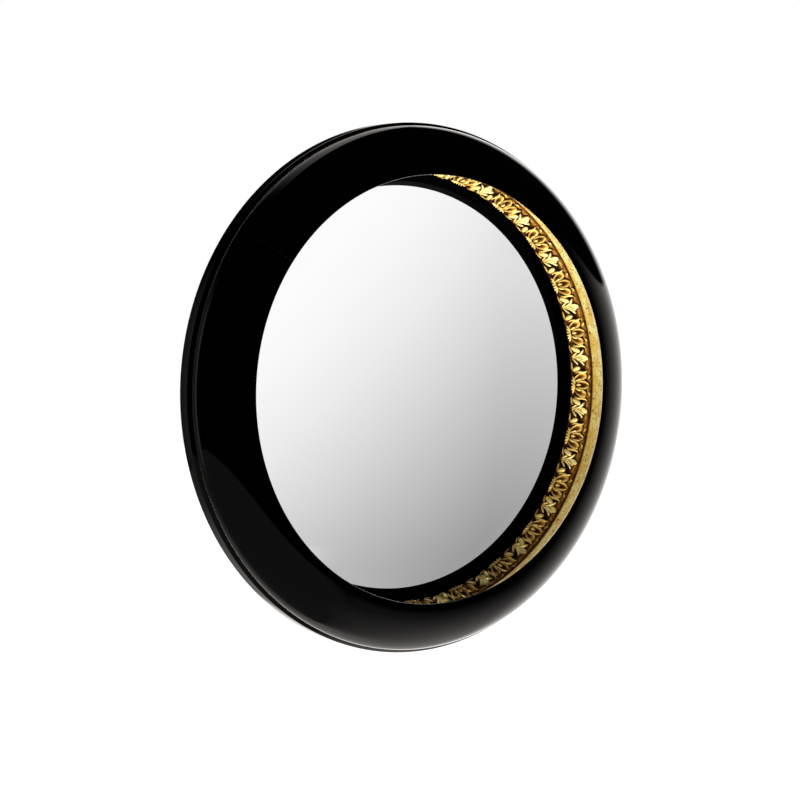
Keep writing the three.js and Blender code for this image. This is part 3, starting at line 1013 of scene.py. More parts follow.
@dataclass
class RimRing:
    """The outermost ring, a flange that stands off the wall, in two halves."""

    seam_radius: float = SEAM_RADIUS
    arris_inset: float = 2.7 * MM
    side_height: float = 23.4 * MM
    rear_round: float = 3.6 * MM
    bore_radius: float = BORE_RADIUS
    arris_ease: float = 1.3 * MM
    seam_ease: float = 0.9 * MM
    joint_ease: float = 0.06 * MM

    def outline(self) -> Outline:
        """The section: rear face, rounded rear edge, side, chamfer and front face.

        Returns:
            The (radius, depth) points.
        """
        outer = reach("rim_ring_upper")
        rear, front = depths("rim_ring_upper")
        points = [
            (self.bore_radius, rear),
            (outer, rear),
            (outer - self.arris_inset, rear + self.side_height),
            (self.seam_radius, front),
            (self.bore_radius, front),
        ]
        points = round_corner(points, 3, self.seam_ease)
        points = round_corner(points, 2, self.arris_ease)
        return round_corner(points, 1, self.rear_round, 6)

    def build(self, finishes: Finishes) -> None:
        """Turn the ring, cut it at the joint and lacquer it.

        Args:
            finishes: The mirror's finishes.
        """
        ring = turned("rim_ring", self.outline())
        for half, piece in split(ring, "rim_flange", self.joint_ease).items():
            fit(piece, finishes.lacquer, Slot.BLACK_LACQUER, f"rim_ring_{half.label}")
        for number in (1, 2):
            dress(f"rim_ring_tongue_{number}", finishes.raw_wood)


@dataclass
class GiltBand:
    """The smooth gilded cove under the lip, in two halves."""

    edge_radius: float = 398 * MM
    shoulder_radius: float = 402 * MM
    shoulder_drop: float = 2 * MM
    heel_rise: float = 12 * MM
    foot_radius: float = 425 * MM
    hollow: float = 3 * MM
    hollow_steps: int = 16
    joint_ease: float = 0.1 * MM

    def outline(self) -> Outline:
        """The section: foot, back and hollow front.

        Returns:
            The (radius, depth) points.
        """
        outer = reach("gilt_band_upper")
        foot, edge = depths("gilt_band_upper")
        return [
            (outer, foot),
            (outer, foot + self.heel_rise),
            (self.shoulder_radius, edge - self.shoulder_drop),
            *bowed((self.edge_radius, edge), (self.foot_radius, foot), -self.hollow,
                   self.hollow_steps),
        ]

    def build(self, finishes: Finishes) -> None:
        """Turn the band and gild it.

        Args:
            finishes: The mirror's finishes.
        """
        ring = turned("gilt_band", self.outline())
        for half, piece in split(ring, "gilt_cove", self.joint_ease).items():
            fit(piece, finishes.leaf, Slot.GOLD_LEAF, f"gilt_band_{half.label}")


@dataclass
class Liner:
    """The black stepped ring that holds the glass, in two halves."""

    rebate_radius: float = 402.5 * MM
    sight_radius: float = SIGHT_RADIUS
    sight_edge: float = 1.2 * MM
    sight_depth: float = SIGHT_DEPTH
    step_radius: float = 396 * MM
    step_rise: float = 8 * MM
    edge_radius: float = 413 * MM
    ease: float = 0.7 * MM
    sight_ease: float = 0.5 * MM
    joint_ease: float = 0.15 * MM

    def outline(self) -> Outline:
        """The section: rear, side, front slope, step and rebate.

        Returns:
            The (radius, depth) points.
        """
        outer = reach("liner_upper")
        rear, front = depths("liner_upper")
        points = [
            (self.rebate_radius, rear),
            (outer, rear),
            (outer, front),
            (self.edge_radius, front),
            (self.step_radius, self.sight_depth + self.step_rise),
            (self.sight_radius, self.sight_depth + self.sight_edge),
            (self.sight_radius, self.sight_depth + CLEARANCE),
            (self.rebate_radius, self.sight_depth + CLEARANCE),
        ]
        points = round_corner(points, 5, self.sight_ease, 3)
        points = round_corner(points, 4, self.ease)
        return round_corner(points, 3, self.ease)

    def build(self, finishes: Finishes) -> None:
        """Turn the liner and lacquer it.

        Args:
            finishes: The mirror's finishes.
        """
        ring = turned("liner", self.outline())
        for half, piece in split(ring, "liner_moulding", self.joint_ease).items():
            fit(piece, finishes.inner_lacquer, Slot.BLACK_LACQUER, f"liner_{half.label}")


@dataclass
class Glass:
    """The convex silvered glass, with the felt and the spacer behind its edge."""

    sight_radius: float = SIGHT_RADIUS
    sight_depth: float = SIGHT_DEPTH
    thickness: float = 4 * MM
    rings: int = 28

    def outline(self) -> Outline:
        """The section from the crown to the edge and back along the rear.

        Returns:
            The (radius, depth) points.
        """
        radius = reach("mirror_glass")
        crown = depths("mirror_glass")[1]
        rise = crown - self.sight_depth
        sphere = (self.sight_radius**2 + rise**2) / (2 * rise)
        front = []
        for step in range(self.rings + 1):
            r = radius * step / self.rings
            front.append((r, crown - sphere + math.sqrt(sphere**2 - r**2)))
        return front + [(r, depth - self.thickness) for r, depth in reversed(front)]

    def build(self, finishes: Finishes) -> None:
        """Turn the glass, silver it and dress what packs it.

        Args:
            finishes: The mirror's finishes.
        """
        piece = turned("convex_glass", self.outline(), closed=False)
        fit(piece, finishes.glass, Slot.MIRROR_GLASS, "mirror_glass")
        dress("glass_felt", finishes.felt)
        dress("glass_spacer", finishes.raw_wood)


# ---- Carving: leaves, petals and buds laid on the frieze ------------------------------------


@dataclass(frozen=True)
class Lobe:
    """A carved leaf, petal or bud, laid along a curved line on the flat frieze.

    A place on the frieze is (along, up) in millimetres: along the ring from the middle of the
    blossom, and up from the frieze's foot to its crest.
    """

    spine: tuple[tuple[float, float], ...]
    widths: tuple[float, ...]  # half widths at the spine's points
    rise: float  # the crest's height over the ground
    hollow: float = 0.0  # how far the middle is scooped out
    tip: float = 0.3  # the share of the length that rounds off at the end
    tail: float = 0.12  # the share of the length that rounds off at the start
    flutes: int = 0  # shallow grooves along it
    slope: float = 0.35  # how much lower the start lies

    def mirrored(self) -> "Lobe":
        """The same lobe on the other side of the blossom."""
        return replace(self, spine=tuple((-u, v) for u, v in self.spine))

    def shape(self, share: np.ndarray, across: np.ndarray) -> np.ndarray:
        """Map the stock blade to the lobe.

        Args:
            share: The place along the blade, 0 to 1, of each point.
            across: The place across the blade, -1 to 1, of each point.

        Returns:
            (along, up, height) in millimetres of each point.
        """
        knots = np.linspace(0, 1, len(self.spine))
        fine = np.linspace(0, 1, 81)
        power = min(3, len(self.spine) - 1)
        line = [np.polyval(np.polyfit(knots, [p[i] for p in self.spine], power), fine)
                for i in (0, 1)]
        u, v = (np.interp(share, fine, values) for values in line)
        du, dv = (np.interp(share, fine, np.gradient(values, fine)) for values in line)
        length = np.hypot(du, dv)
        width = np.interp(share, knots, self.widths)
        rounding = np.ones_like(share)
        for edge, part in ((1 - share, self.tip), (share, self.tail)):
            near = np.clip(edge / max(part, 1e-3), 0, 1)
            rounding *= np.sqrt(1 - (1 - near) ** 2)
        width = width * rounding
        dome = np.clip(1 - np.abs(across) ** 2.6, 0, 1) ** 0.55
        lift = self.rise * (1 - self.slope * (1 - share) ** 1.5) * (0.25 + 0.75 * rounding)
        height = lift * (0.12 + 0.88 * dome)
        bowl = np.clip(1 - (across / 0.74) ** 2, 0, 1) ** 0.8
        bowl *= np.clip(np.sin(np.pi * np.clip(share, 0, 1) ** 0.9), 0, 1) ** 0.6
        height -= self.hollow * bowl
        if self.flutes:
            height += 0.45 * np.cos(np.pi * self.flutes * across) * dome * rounding
        return np.stack((u - dv / length * width * across, v + du / length * width * across,
                         height), axis=-1)


def blossom_lobes() -> list[Lobe]:
    """The blossom: cup, bud, side petals, calyx, leaves and the scallops under them.

    Returns:
        Its lobes.
    """
    petal = Lobe(((8, 9), (13.5, 19), (18, 29), (20.5, 40.5)), (3.5, 7.2, 9.4, 8.8), 6.6,
                 hollow=5.0, tip=0.34)
    inner = Lobe(((6.5, 12.5), (9.6, 19.5), (12, 27.5)), (2.0, 3.2, 2.6), 4.6, flutes=1)
    inside = Lobe(((10, 24), (13.5, 31), (16.5, 37)), (1.4, 2.4, 1.4), 3.8)
    lobes = [petal, petal.mirrored(), inner, inner.mirrored(), inside, inside.mirrored()]
    lobes.append(Lobe(((-0.2, 14.6), (0, 25), (0.2, 36), (0.4, 46)), (5.5, 9.4, 9.6, 5.5), 7.6,
                      hollow=6.6, tip=0.42, tail=0.34))
    lobes.append(Lobe(((0, 15.6), (0, 21), (0, 28)), (1.8, 2.9, 1.8), 5.4, tip=0.5))
    for end, width in (((-17.5, 5.6), 3.0), ((-10.5, 3.0), 3.2), ((-2.8, 2.0), 3.0),
                       ((5.4, 1.8), 3.0), ((12.6, 2.6), 3.1), ((19, 5.4), 2.8)):
        start = (end[0] * 0.16, 12.8)
        middle = ((start[0] + end[0]) / 2, (start[1] + end[1]) / 2 + 0.6)
        lobes.append(Lobe((start, middle, end), (1.6, width * 0.8, width), 4.4, flutes=1))
    lobes += [
        Lobe(((-29, 6.5), (-33, 15), (-36.5, 26.5)), (4.2, 6.0, 4.8), 5.0, flutes=1),
        Lobe(((30, 7), (35.5, 17), (40.5, 29)), (4.2, 6.6, 5.2), 5.2, flutes=1),
        Lobe(((-49, 3.6), (-40, 4.6), (-29, 4.6)), (1.6, 2.6, 1.8), 3.6),
        Lobe(((25, 3.8), (35, 4.6), (44.5, 10.6)), (1.8, 2.9, 1.3), 3.8),
        Lobe(((-22.5, 11), (-27, 22), (-26, 33), (-31, 42)), (1.8, 2.7, 2.6, 1.8), 4.8),
        Lobe(((23.5, 11), (28.5, 22), (28, 33), (34, 43)), (1.8, 2.8, 2.8, 1.9), 4.8),
        Lobe(((-12, 41), (-15.5, 45), (-21, 46.6)), (1.4, 2.2, 1.4), 4.2),
        Lobe(((12.5, 41), (16, 45), (22, 46.4)), (1.4, 2.2, 1.4), 4.2),
    ]
    return lobes


def leaf_fan_lobes() -> list[Lobe]:
    """The acanthus fan between two blossoms, placed from the blossom before it.

    Returns:
        Its lobes.
    """
    return [
        Lobe(((51.6, 5), (51.2, 19), (52.6, 33), (54.4, 46.6)), (2.4, 4.4, 6.4, 6.2), 7.2,
             hollow=2.8, flutes=2),
        Lobe(((51.4, 18), (54.4, 28.5), (61.8, 39.4)), (1.6, 2.2, 2.0), 7.4),
        Lobe(((53.4, 13), (56.8, 24), (62.4, 31.6), (69.4, 35.8)), (1.6, 2.3, 2.8, 2.0), 6.6),
        Lobe(((53.6, 8), (59.6, 14.6), (67, 21.4)), (1.8, 2.8, 2.2), 5.2, flutes=1),
        Lobe(((50.6, 13), (46.6, 25.6), (42, 32), (35.2, 37)), (1.6, 2.4, 2.6, 1.9), 6.4),
        Lobe(((50.4, 7), (45.6, 13.5), (42.6, 21.5)), (1.7, 2.5, 1.8), 5.0, flutes=1),
    ]


@dataclass
class Frieze:
    """The carved frieze: a bowed ground in two halves, blossoms and leaf fans."""

    groove_radius: float = 433 * MM
    groove_depth: float = 91 * MM
    crest: tuple[float, float] = (428 * MM, 88 * MM)
    foot: tuple[float, float] = (414 * MM, 44.3 * MM)
    bulge: float = 2.5 * MM
    repeats: int = 24
    turn_back: float = 0.3  # degrees that the first blossom lies below the horizontal
    crest_ease: float = 1.2 * MM
    crest_margin: float = 1.5 * MM  # how far past the crest the ground still counts as bare
    joint_ease: float = 0.1 * MM
    ground_steps: int = 14
    bare_mark: float = 0.13  # the relief value of bare ground: dark patina and painted shade of the recess between the motifs
    # the relief value of the groove and of the ground outside the crest: painted shadow, nearly
    # black
    groove_mark: float = 0.06
    warm_mark: float = 0.27  # added near the ground's crest, where it turns orange
    warm_share: float = 0.86
    warm_width: float = 0.12
    full_relief: float = 7.0 * MM
    root: float = 1.4 * MM  # how far a motif is sunk into the ground
    along_steps: int = 12
    across_steps: int = 10
    scales: tuple[float, float] = (0.93, 1.05)  # how much the motifs' relief varies
    shifts: tuple[float, float] = (-0.6, 0.6)  # millimetres that they stray along the ring
    seed: int = 7

    def ground(self) -> dict[Half, bpy.types.Object]:
        """Turn the ground ring and cut it at the joint.

        Returns:
            The ground's halves.
        """
        outer = reach("carved_frieze_upper")
        rear, front = depths("carved_frieze_upper")
        outline = [
            (outer, rear), (outer, front), (self.groove_radius, front),
            (self.groove_radius, self.groove_depth),
            *bowed(self.crest, self.foot, -self.bulge, self.ground_steps),
        ]
        outline = round_corner(outline, 4, self.crest_ease)
        return split(turned("carved_frieze", outline), "frieze_ground", self.joint_ease)

    def age(self, piece: bpy.types.Object) -> None:
        """Mark the ground's bare places with patina and painted shade: dark brown where bare,
        darkest in the groove, orange near the crest.

        Args:
            piece: One half of the ground.
        """
        mark = piece.data.attributes.new(RELIEF, "FLOAT", "POINT")
        for point in piece.data.vertices:
            share = (-point.co.y - self.foot[1]) / (self.crest[1] - self.foot[1])
            inside = math.hypot(point.co.x, point.co.z) < self.crest[0] + self.crest_margin
            warm = self.warm_mark * math.exp(-((share - self.warm_share) / self.warm_width) ** 2)
            # patina and painted shade on the bare ground, painted shadow in the groove and outside
            # the crest
            mark.data[point.index].value = self.bare_mark + warm if inside else self.groove_mark

    def blade(self) -> bpy.types.Object:
        """Make the stock that every lobe is shaped from.

        Returns:
            A slab on a grid, 2 wide each way and 1 thick.
        """
        bpy.ops.object.select_all(action="DESELECT")
        bpy.ops.mesh.primitive_grid_add(x_subdivisions=self.along_steps,
                                        y_subdivisions=self.across_steps, size=2)
        piece = bpy.context.active_object
        with editing(piece):
            bpy.ops.mesh.select_all(action="SELECT")
            bpy.ops.mesh.extrude_region_move(TRANSFORM_OT_translate={"value": (0, 0, -1)})
            bpy.ops.mesh.select_all(action="SELECT")
            bpy.ops.mesh.normals_make_consistent(inside=False)
        return piece

    def flat(self, name: str, lobes: list[Lobe]) -> bpy.types.Object:
        """Shape the lobes of one motif side by side on the flat frieze.

        Args:
            name: The motif's name.
            lobes: Its lobes.

        Returns:
            One piece, as (along, up, height) in metres, with the relief marked.
        """
        stock = self.blade()
        pieces = []
        for lobe in lobes:
            piece = copy_of(stock, name)
            places = read_points(piece)
            shaped = lobe.shape((places[:, 0] + 1) / 2, places[:, 1]) * MM
            under = places[:, 2] < -0.5
            relief = np.clip(shaped[:, 2] / self.full_relief, 0, 1)
            shaped[under, 2] = -self.root
            mark = piece.data.attributes.new(RELIEF, "FLOAT", "POINT")
            mark.data.foreach_set("value", np.where(under, 0.0, relief).astype(np.float32))
            write_points(piece, shaped)
            pieces.append(piece)
        discard(stock)
        return join(name, pieces)

    def wrap(self, flat: bpy.types.Object, name: str, angle: float, scale: float,
             shift: float) -> bpy.types.Object:
        """Bend a copy of a flat motif round the ring.

        Args:
            flat: The flat motif.
            name: The copy's name.
            angle: The blossom's angle in radians.
            scale: The relief's scale.
            shift: The shift along the ring.

        Returns:
            The bent copy.
        """
        piece = copy_of(flat, name)
        along, up, height = read_points(piece).T
        slope = Vector(self.crest) - Vector(self.foot)
        length = slope.length
        normal = Vector((-slope.y, slope.x)) / length
        share = up / length
        height = height * scale + self.bulge * 4 * share * (1 - share)
        radius = self.foot[0] + slope.x * share + normal.x * height
        depth = self.foot[1] + slope.y * share + normal.y * height
        turn = angle - (along + shift) / self.foot[0]
        write_points(piece, np.stack((radius * np.cos(turn), -depth, radius * np.sin(turn)),
                                     axis=-1))
        return tidy(piece, 55)

    def build(self, finishes: Finishes) -> None:
        """Build the ground, then carve the motifs round it.

        Args:
            finishes: The mirror's finishes.
        """
        for half, piece in self.ground().items():
            self.age(piece)
            fit(piece, finishes.carving, Slot.CARVED_GOLD, f"carved_frieze_{half.label}")
        hand = np.random.default_rng(self.seed)
        for name, lobes in (("blossom", blossom_lobes()), ("leaf_fan", leaf_fan_lobes())):
            flat = self.flat(name, lobes)
            for number in range(self.repeats):
                angle = math.tau * number / self.repeats - math.radians(self.turn_back)
                piece = self.wrap(flat, f"{name}_{number + 1:02d}", angle,
                                  hand.uniform(*self.scales), hand.uniform(*self.shifts) * MM)
                fit(piece, finishes.carving, Slot.CARVED_GOLD)
            discard(flat)


# ---- Back: carcass, board, screws, bumpers and hangers --------------------------------------


@dataclass
class Carcass:
    """The plain ring behind the frame that the board is screwed to."""

    bore_radius: float = BORE_RADIUS
    ease: float = 0.6 * MM

    def build(self, finishes: Finishes) -> None:
        """Turn the ring with eased edges.

        Args:
            finishes: The mirror's finishes.
        """
        outer = reach("carcass_ring")
        rear, front = depths("carcass_ring")
        outline = [(self.bore_radius, rear), (outer, rear), (outer, front),
                   (self.bore_radius, front)]
        outline = round_corner(round_corner(outline, 1, self.ease), 0, self.ease)
        ring = turned("plain_carcass", outline)
        fit(ring, finishes.stained, Slot.STAINED_WOOD, "carcass_ring")


@dataclass
class Screw:
    """A countersunk or pan headed wood screw with a cross recess."""

    head_radius: float
    head_height: float
    pan: bool = False
    shank_radius: float = 1.5 * MM
    recess_depth: float = 1.3 * MM
    tip: float = 3 * MM
    turn_step: float = 0.61  # radians that each screw is turned further than the one before

    def outline(self, length: float) -> Outline:
        """Half the section, from the middle of the face to the tip.

        Args:
            length: The screw's length over all.

        Returns:
            The (radius, depth) points.
        """
        r, h = self.head_radius, self.head_height
        if self.pan:
            head = [(0, 0), (r * 0.45, 0.1 * MM), (r * 0.8, h * 0.28), (r * 0.97, h * 0.6),
                    (r, h * 0.94), (r * 0.97, h)]
        else:
            head = [(0, 0), (r * 0.92, 0), (r, 0.1 * MM), (r, 0.3 * MM)]
        neck = [(self.shank_radius, h), (self.shank_radius, length - self.tip), (0, length)]
        return head + neck

    def pattern(self, length: float) -> bpy.types.Object:
        """One screw at the origin, with its head towards the wall.

        Args:
            length: The screw's length over all.

        Returns:
            The screw.
        """
        screw = turned("screw_pattern", self.outline(length), closed=False, steps=32)
        for turn in (0, math.pi / 2):
            bpy.ops.object.select_all(action="DESELECT")
            bpy.ops.mesh.primitive_cube_add(size=1)
            bar = bpy.context.active_object
            bar.scale = (self.head_radius * 1.1, self.recess_depth * 2, self.head_radius * 0.26)
            settle(bar)
            bar.rotation_euler = (0, turn, 0)
            settle(bar)
            with editing(bar):
                pick(bar, "FACE", lambda at: at.y < -self.recess_depth * 0.9)
                bpy.ops.transform.resize(value=(0.45, 1, 0.45))
            only(screw)
            cut = screw.modifiers.new("recess", "BOOLEAN")
            cut.operation, cut.solver, cut.object = "DIFFERENCE", "EXACT", bar
            bpy.ops.object.modifier_apply(modifier=cut.name)
            discard(bar)
        return tidy(screw, 35)

    def drive(self, paint: bpy.types.Material, nodes: Sequence[str]) -> None:
        """Put a copy of the screw where each solid is.

        Args:
            paint: The screws' material.
            nodes: The screws' solids, all of one size.
        """
        rear, front = depths(nodes[0])
        pattern = self.pattern(front - rear)
        for number, node in enumerate(nodes):
            low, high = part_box(node)
            middle = (low + high) / 2
            piece = copy_of(pattern, f"cross_{node}")
            piece.rotation_euler = (0, self.turn_step * number, 0)
            settle(piece)
            piece.location = (middle.x, high.y, middle.z)
            settle(piece)
            fit(piece, paint, Slot.ZINC_STEEL, node)
        discard(pattern)


@dataclass
class Back:
    """The backing board with its screws, the rim's screws and the bumpers."""

    screw_count: int = 8
    bumper_count: int = 4
    head_radius: float = 4 * MM
    head_height: float = 2.4 * MM

    def bumper(self, node: str, finishes: Finishes) -> None:
        """Turn one domed bumper with a dimple in its face.

        Args:
            node: The bumper's solid.
            finishes: The mirror's finishes.
        """
        low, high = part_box(node)
        radius = (high.x - low.x) / 2
        rear, front = depths(node)
        outline = [(0, rear + 1.2 * MM), (radius * 0.25, rear + 1.1 * MM), (radius * 0.4, rear),
                   (radius * 0.86, rear), (radius * 0.97, rear + 0.9 * MM),
                   (radius, rear + 3 * MM), (radius, front), (0, front)]
        middle = (low + high) / 2
        piece = turned(f"{node}_pad", outline, closed=False, steps=48,
                       place=(middle.x, middle.z))
        fit(piece, finishes.rubber, Slot.RUBBER, node)

    def build(self, finishes: Finishes) -> None:
        """Dress the board and build the screws and the bumpers.

        Args:
            finishes: The mirror's finishes.
        """
        dress("backing_board", finishes.board)
        for number in range(self.bumper_count):
            self.bumper(f"bumper_{number + 1}", finishes)
        for kind in ("board", "rim"):
            names = [f"{kind}_screw_{n + 1}" for n in range(self.screw_count)]
            Screw(self.head_radius, self.head_height).drive(finishes.steel, names)


@dataclass
class Hangers:
    """The two strap hangers: folded straps, their screws and the D-rings that swing in them."""

    width: float = 14 * MM
    thickness: float = 1.2 * MM
    wrap: float = 250  # degrees of fold round the bar
    wrap_steps: int = 18
    end_round: float = 4 * MM
    wire: float = 3.2 * MM
    corner: float = 3 * MM
    screw: Screw = field(default_factory=lambda: Screw(3.6 * MM, 1.8 * MM, pan=True))

    def strap(self, side: Side, finishes: Finishes) -> None:
        """Fold one strap from a plate with a rounded end.

        Args:
            side: The side that it is on.
            finishes: The mirror's finishes.
        """
        node = f"strap_{side.label}"
        low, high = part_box(node)
        outer = (high.y - low.y) / 2
        bar_z, bar_depth = high.z - outer, -low.y - outer
        front = -low.y
        sweep = [math.radians(self.wrap) * step / self.wrap_steps
                 for step in range(self.wrap_steps + 1)]
        rings = [[(radius * math.sin(turn), bar_depth + radius * math.cos(turn))
                  for turn in sweep] for radius in (outer, outer - self.thickness)]
        end = low.z - bar_z
        outline = [(end, front), *rings[0], *reversed(rings[1]), (end, front - self.thickness)]
        piece = draw(f"folded_{node}", outline)
        with editing(piece):
            bpy.ops.mesh.select_all(action="SELECT")
            bpy.ops.mesh.edge_face_add()
            bpy.ops.mesh.extrude_region_move(
                TRANSFORM_OT_translate={"value": (0, 0, self.width)})
            bpy.ops.mesh.select_all(action="SELECT")
            bpy.ops.transform.translate(value=(0, 0, -self.width / 2))
        piece.rotation_euler = (0, -math.pi / 2, 0)
        settle(piece)
        edge = self.width / 2 - 0.1 * MM
        with editing(piece):
            pick(piece, "EDGE", lambda at: at.z < end + 0.1 * MM and abs(at.x) > edge)
            bpy.ops.mesh.bevel(offset=self.end_round, segments=6, affect="EDGES")
        piece.location = ((low.x + high.x) / 2, 0, bar_z)
        settle(piece)
        tidy(piece, 40)
        fit(piece, finishes.steel, Slot.ZINC_STEEL, node)

    def ring(self, side: Side, finishes: Finishes) -> None:
        """Bend one D-ring from round wire.

        Args:
            side: The side that it is on.
            finishes: The mirror's finishes.
        """
        node = f"d_ring_{side.label}"
        low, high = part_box(node)
        half = (high.x - low.x - self.wire) / 2
        top, bottom = high.z - self.wire / 2, low.z + self.wire / 2
        bow = bottom + half
        middle = Vector(((low.x + high.x) / 2, (low.y + high.y) / 2, 0))
        path = []
        for centre_x, centre_z, radius, start, stop, steps in (
                (half - self.corner, top - self.corner, self.corner, 90, 0, 5),
                (0, bow, half, 0, -180, 28),
                (self.corner - half, top - self.corner, self.corner, 180, 90, 5)):
            for step in range(steps + 1):
                turn = math.radians(start + (stop - start) * step / steps)
                path.append(middle + Vector((centre_x + radius * math.cos(turn), 0,
                                             centre_z + radius * math.sin(turn))))
        wire = bpy.data.curves.new(f"round_{node}", "CURVE")
        wire.dimensions = "3D"
        wire.bevel_depth, wire.bevel_resolution = self.wire / 2, 5
        line = wire.splines.new("POLY")
        line.points.add(len(path) - 1)
        for point, place in zip(line.points, path):
            point.co = (*place, 1)
        line.use_cyclic_u = True
        piece = bpy.data.objects.new(f"round_{node}", wire)
        bpy.context.scene.collection.objects.link(piece)
        only(piece)
        bpy.ops.object.convert(target="MESH")
        tidy(piece, 50)
        fit(piece, finishes.steel, Slot.ZINC_STEEL, node, body=f"hanging_ring_{side.label}")

    def build(self, finishes: Finishes) -> None:
        """Build the straps, the rings and the screws.

        Args:
            finishes: The mirror's finishes.
        """
        for side in Side:
            self.strap(side, finishes)
            self.ring(side, finishes)
        names = [f"strap_screw_{side.label}_{n}" for side in Side for n in (1, 2)]
        self.screw.drive(finishes.steel, names)


# ---- Studio ---------------------------------------------------------------------------------


def direction(azimuth: float, elevation: float) -> Vector:
    """The unit vector from the mirror towards a place in the room.

    Args:
        azimuth: Degrees round the mirror, 0 in front and 90 on the right.
        elevation: Degrees above the horizon.

    Returns:
        The direction.
    """
    a, e = math.radians(azimuth), math.radians(elevation)
    return Vector((math.sin(a) * math.cos(e), -math.cos(a) * math.cos(e), math.sin(e)))


@dataclass(frozen=True)
class Lamp:
    """A soft rectangular lamp that faces the mirror."""

    name: str
    azimuth: float
    elevation: float
    distance: float
    size: tuple[float, float]
    watts: float
    colour: tuple[float, float, float] = (1.0, 1.0, 1.0)

    def hang(self, receivers: bpy.types.Collection) -> bpy.types.Object:
        """Hang the lamp.

        Args:
            receivers: The only things that it lights.

        Returns:
            The lamp.
        """
        data = bpy.data.lights.new(self.name, "AREA")
        data.shape = "RECTANGLE"
        data.size, data.size_y = self.size
        data.energy = self.watts
        data.color = self.colour
        lamp = bpy.data.objects.new(self.name, data)
        bpy.context.scene.collection.objects.link(lamp)
        towards = direction(self.azimuth, self.elevation)
        lamp.location = towards * self.distance
        lamp.rotation_mode = "QUATERNION"
        lamp.rotation_quaternion = (-towards).to_track_quat("-Z", "Y")
        lamp.light_linking.receiver_collection = receivers
        return lamp


@dataclass(frozen=True)
class Board:
    """A soft light in the room, as ramps of azimuth in degrees and of height.

    Each pair runs from where the light is out to where it is full: azimuth counts from in front
    of the mirror round its right side, and height is the sine of the elevation.
    """

    left: tuple[float, float]
    right: tuple[float, float]
    bottom: tuple[float, float]
    top: tuple[float, float]
    strength: float


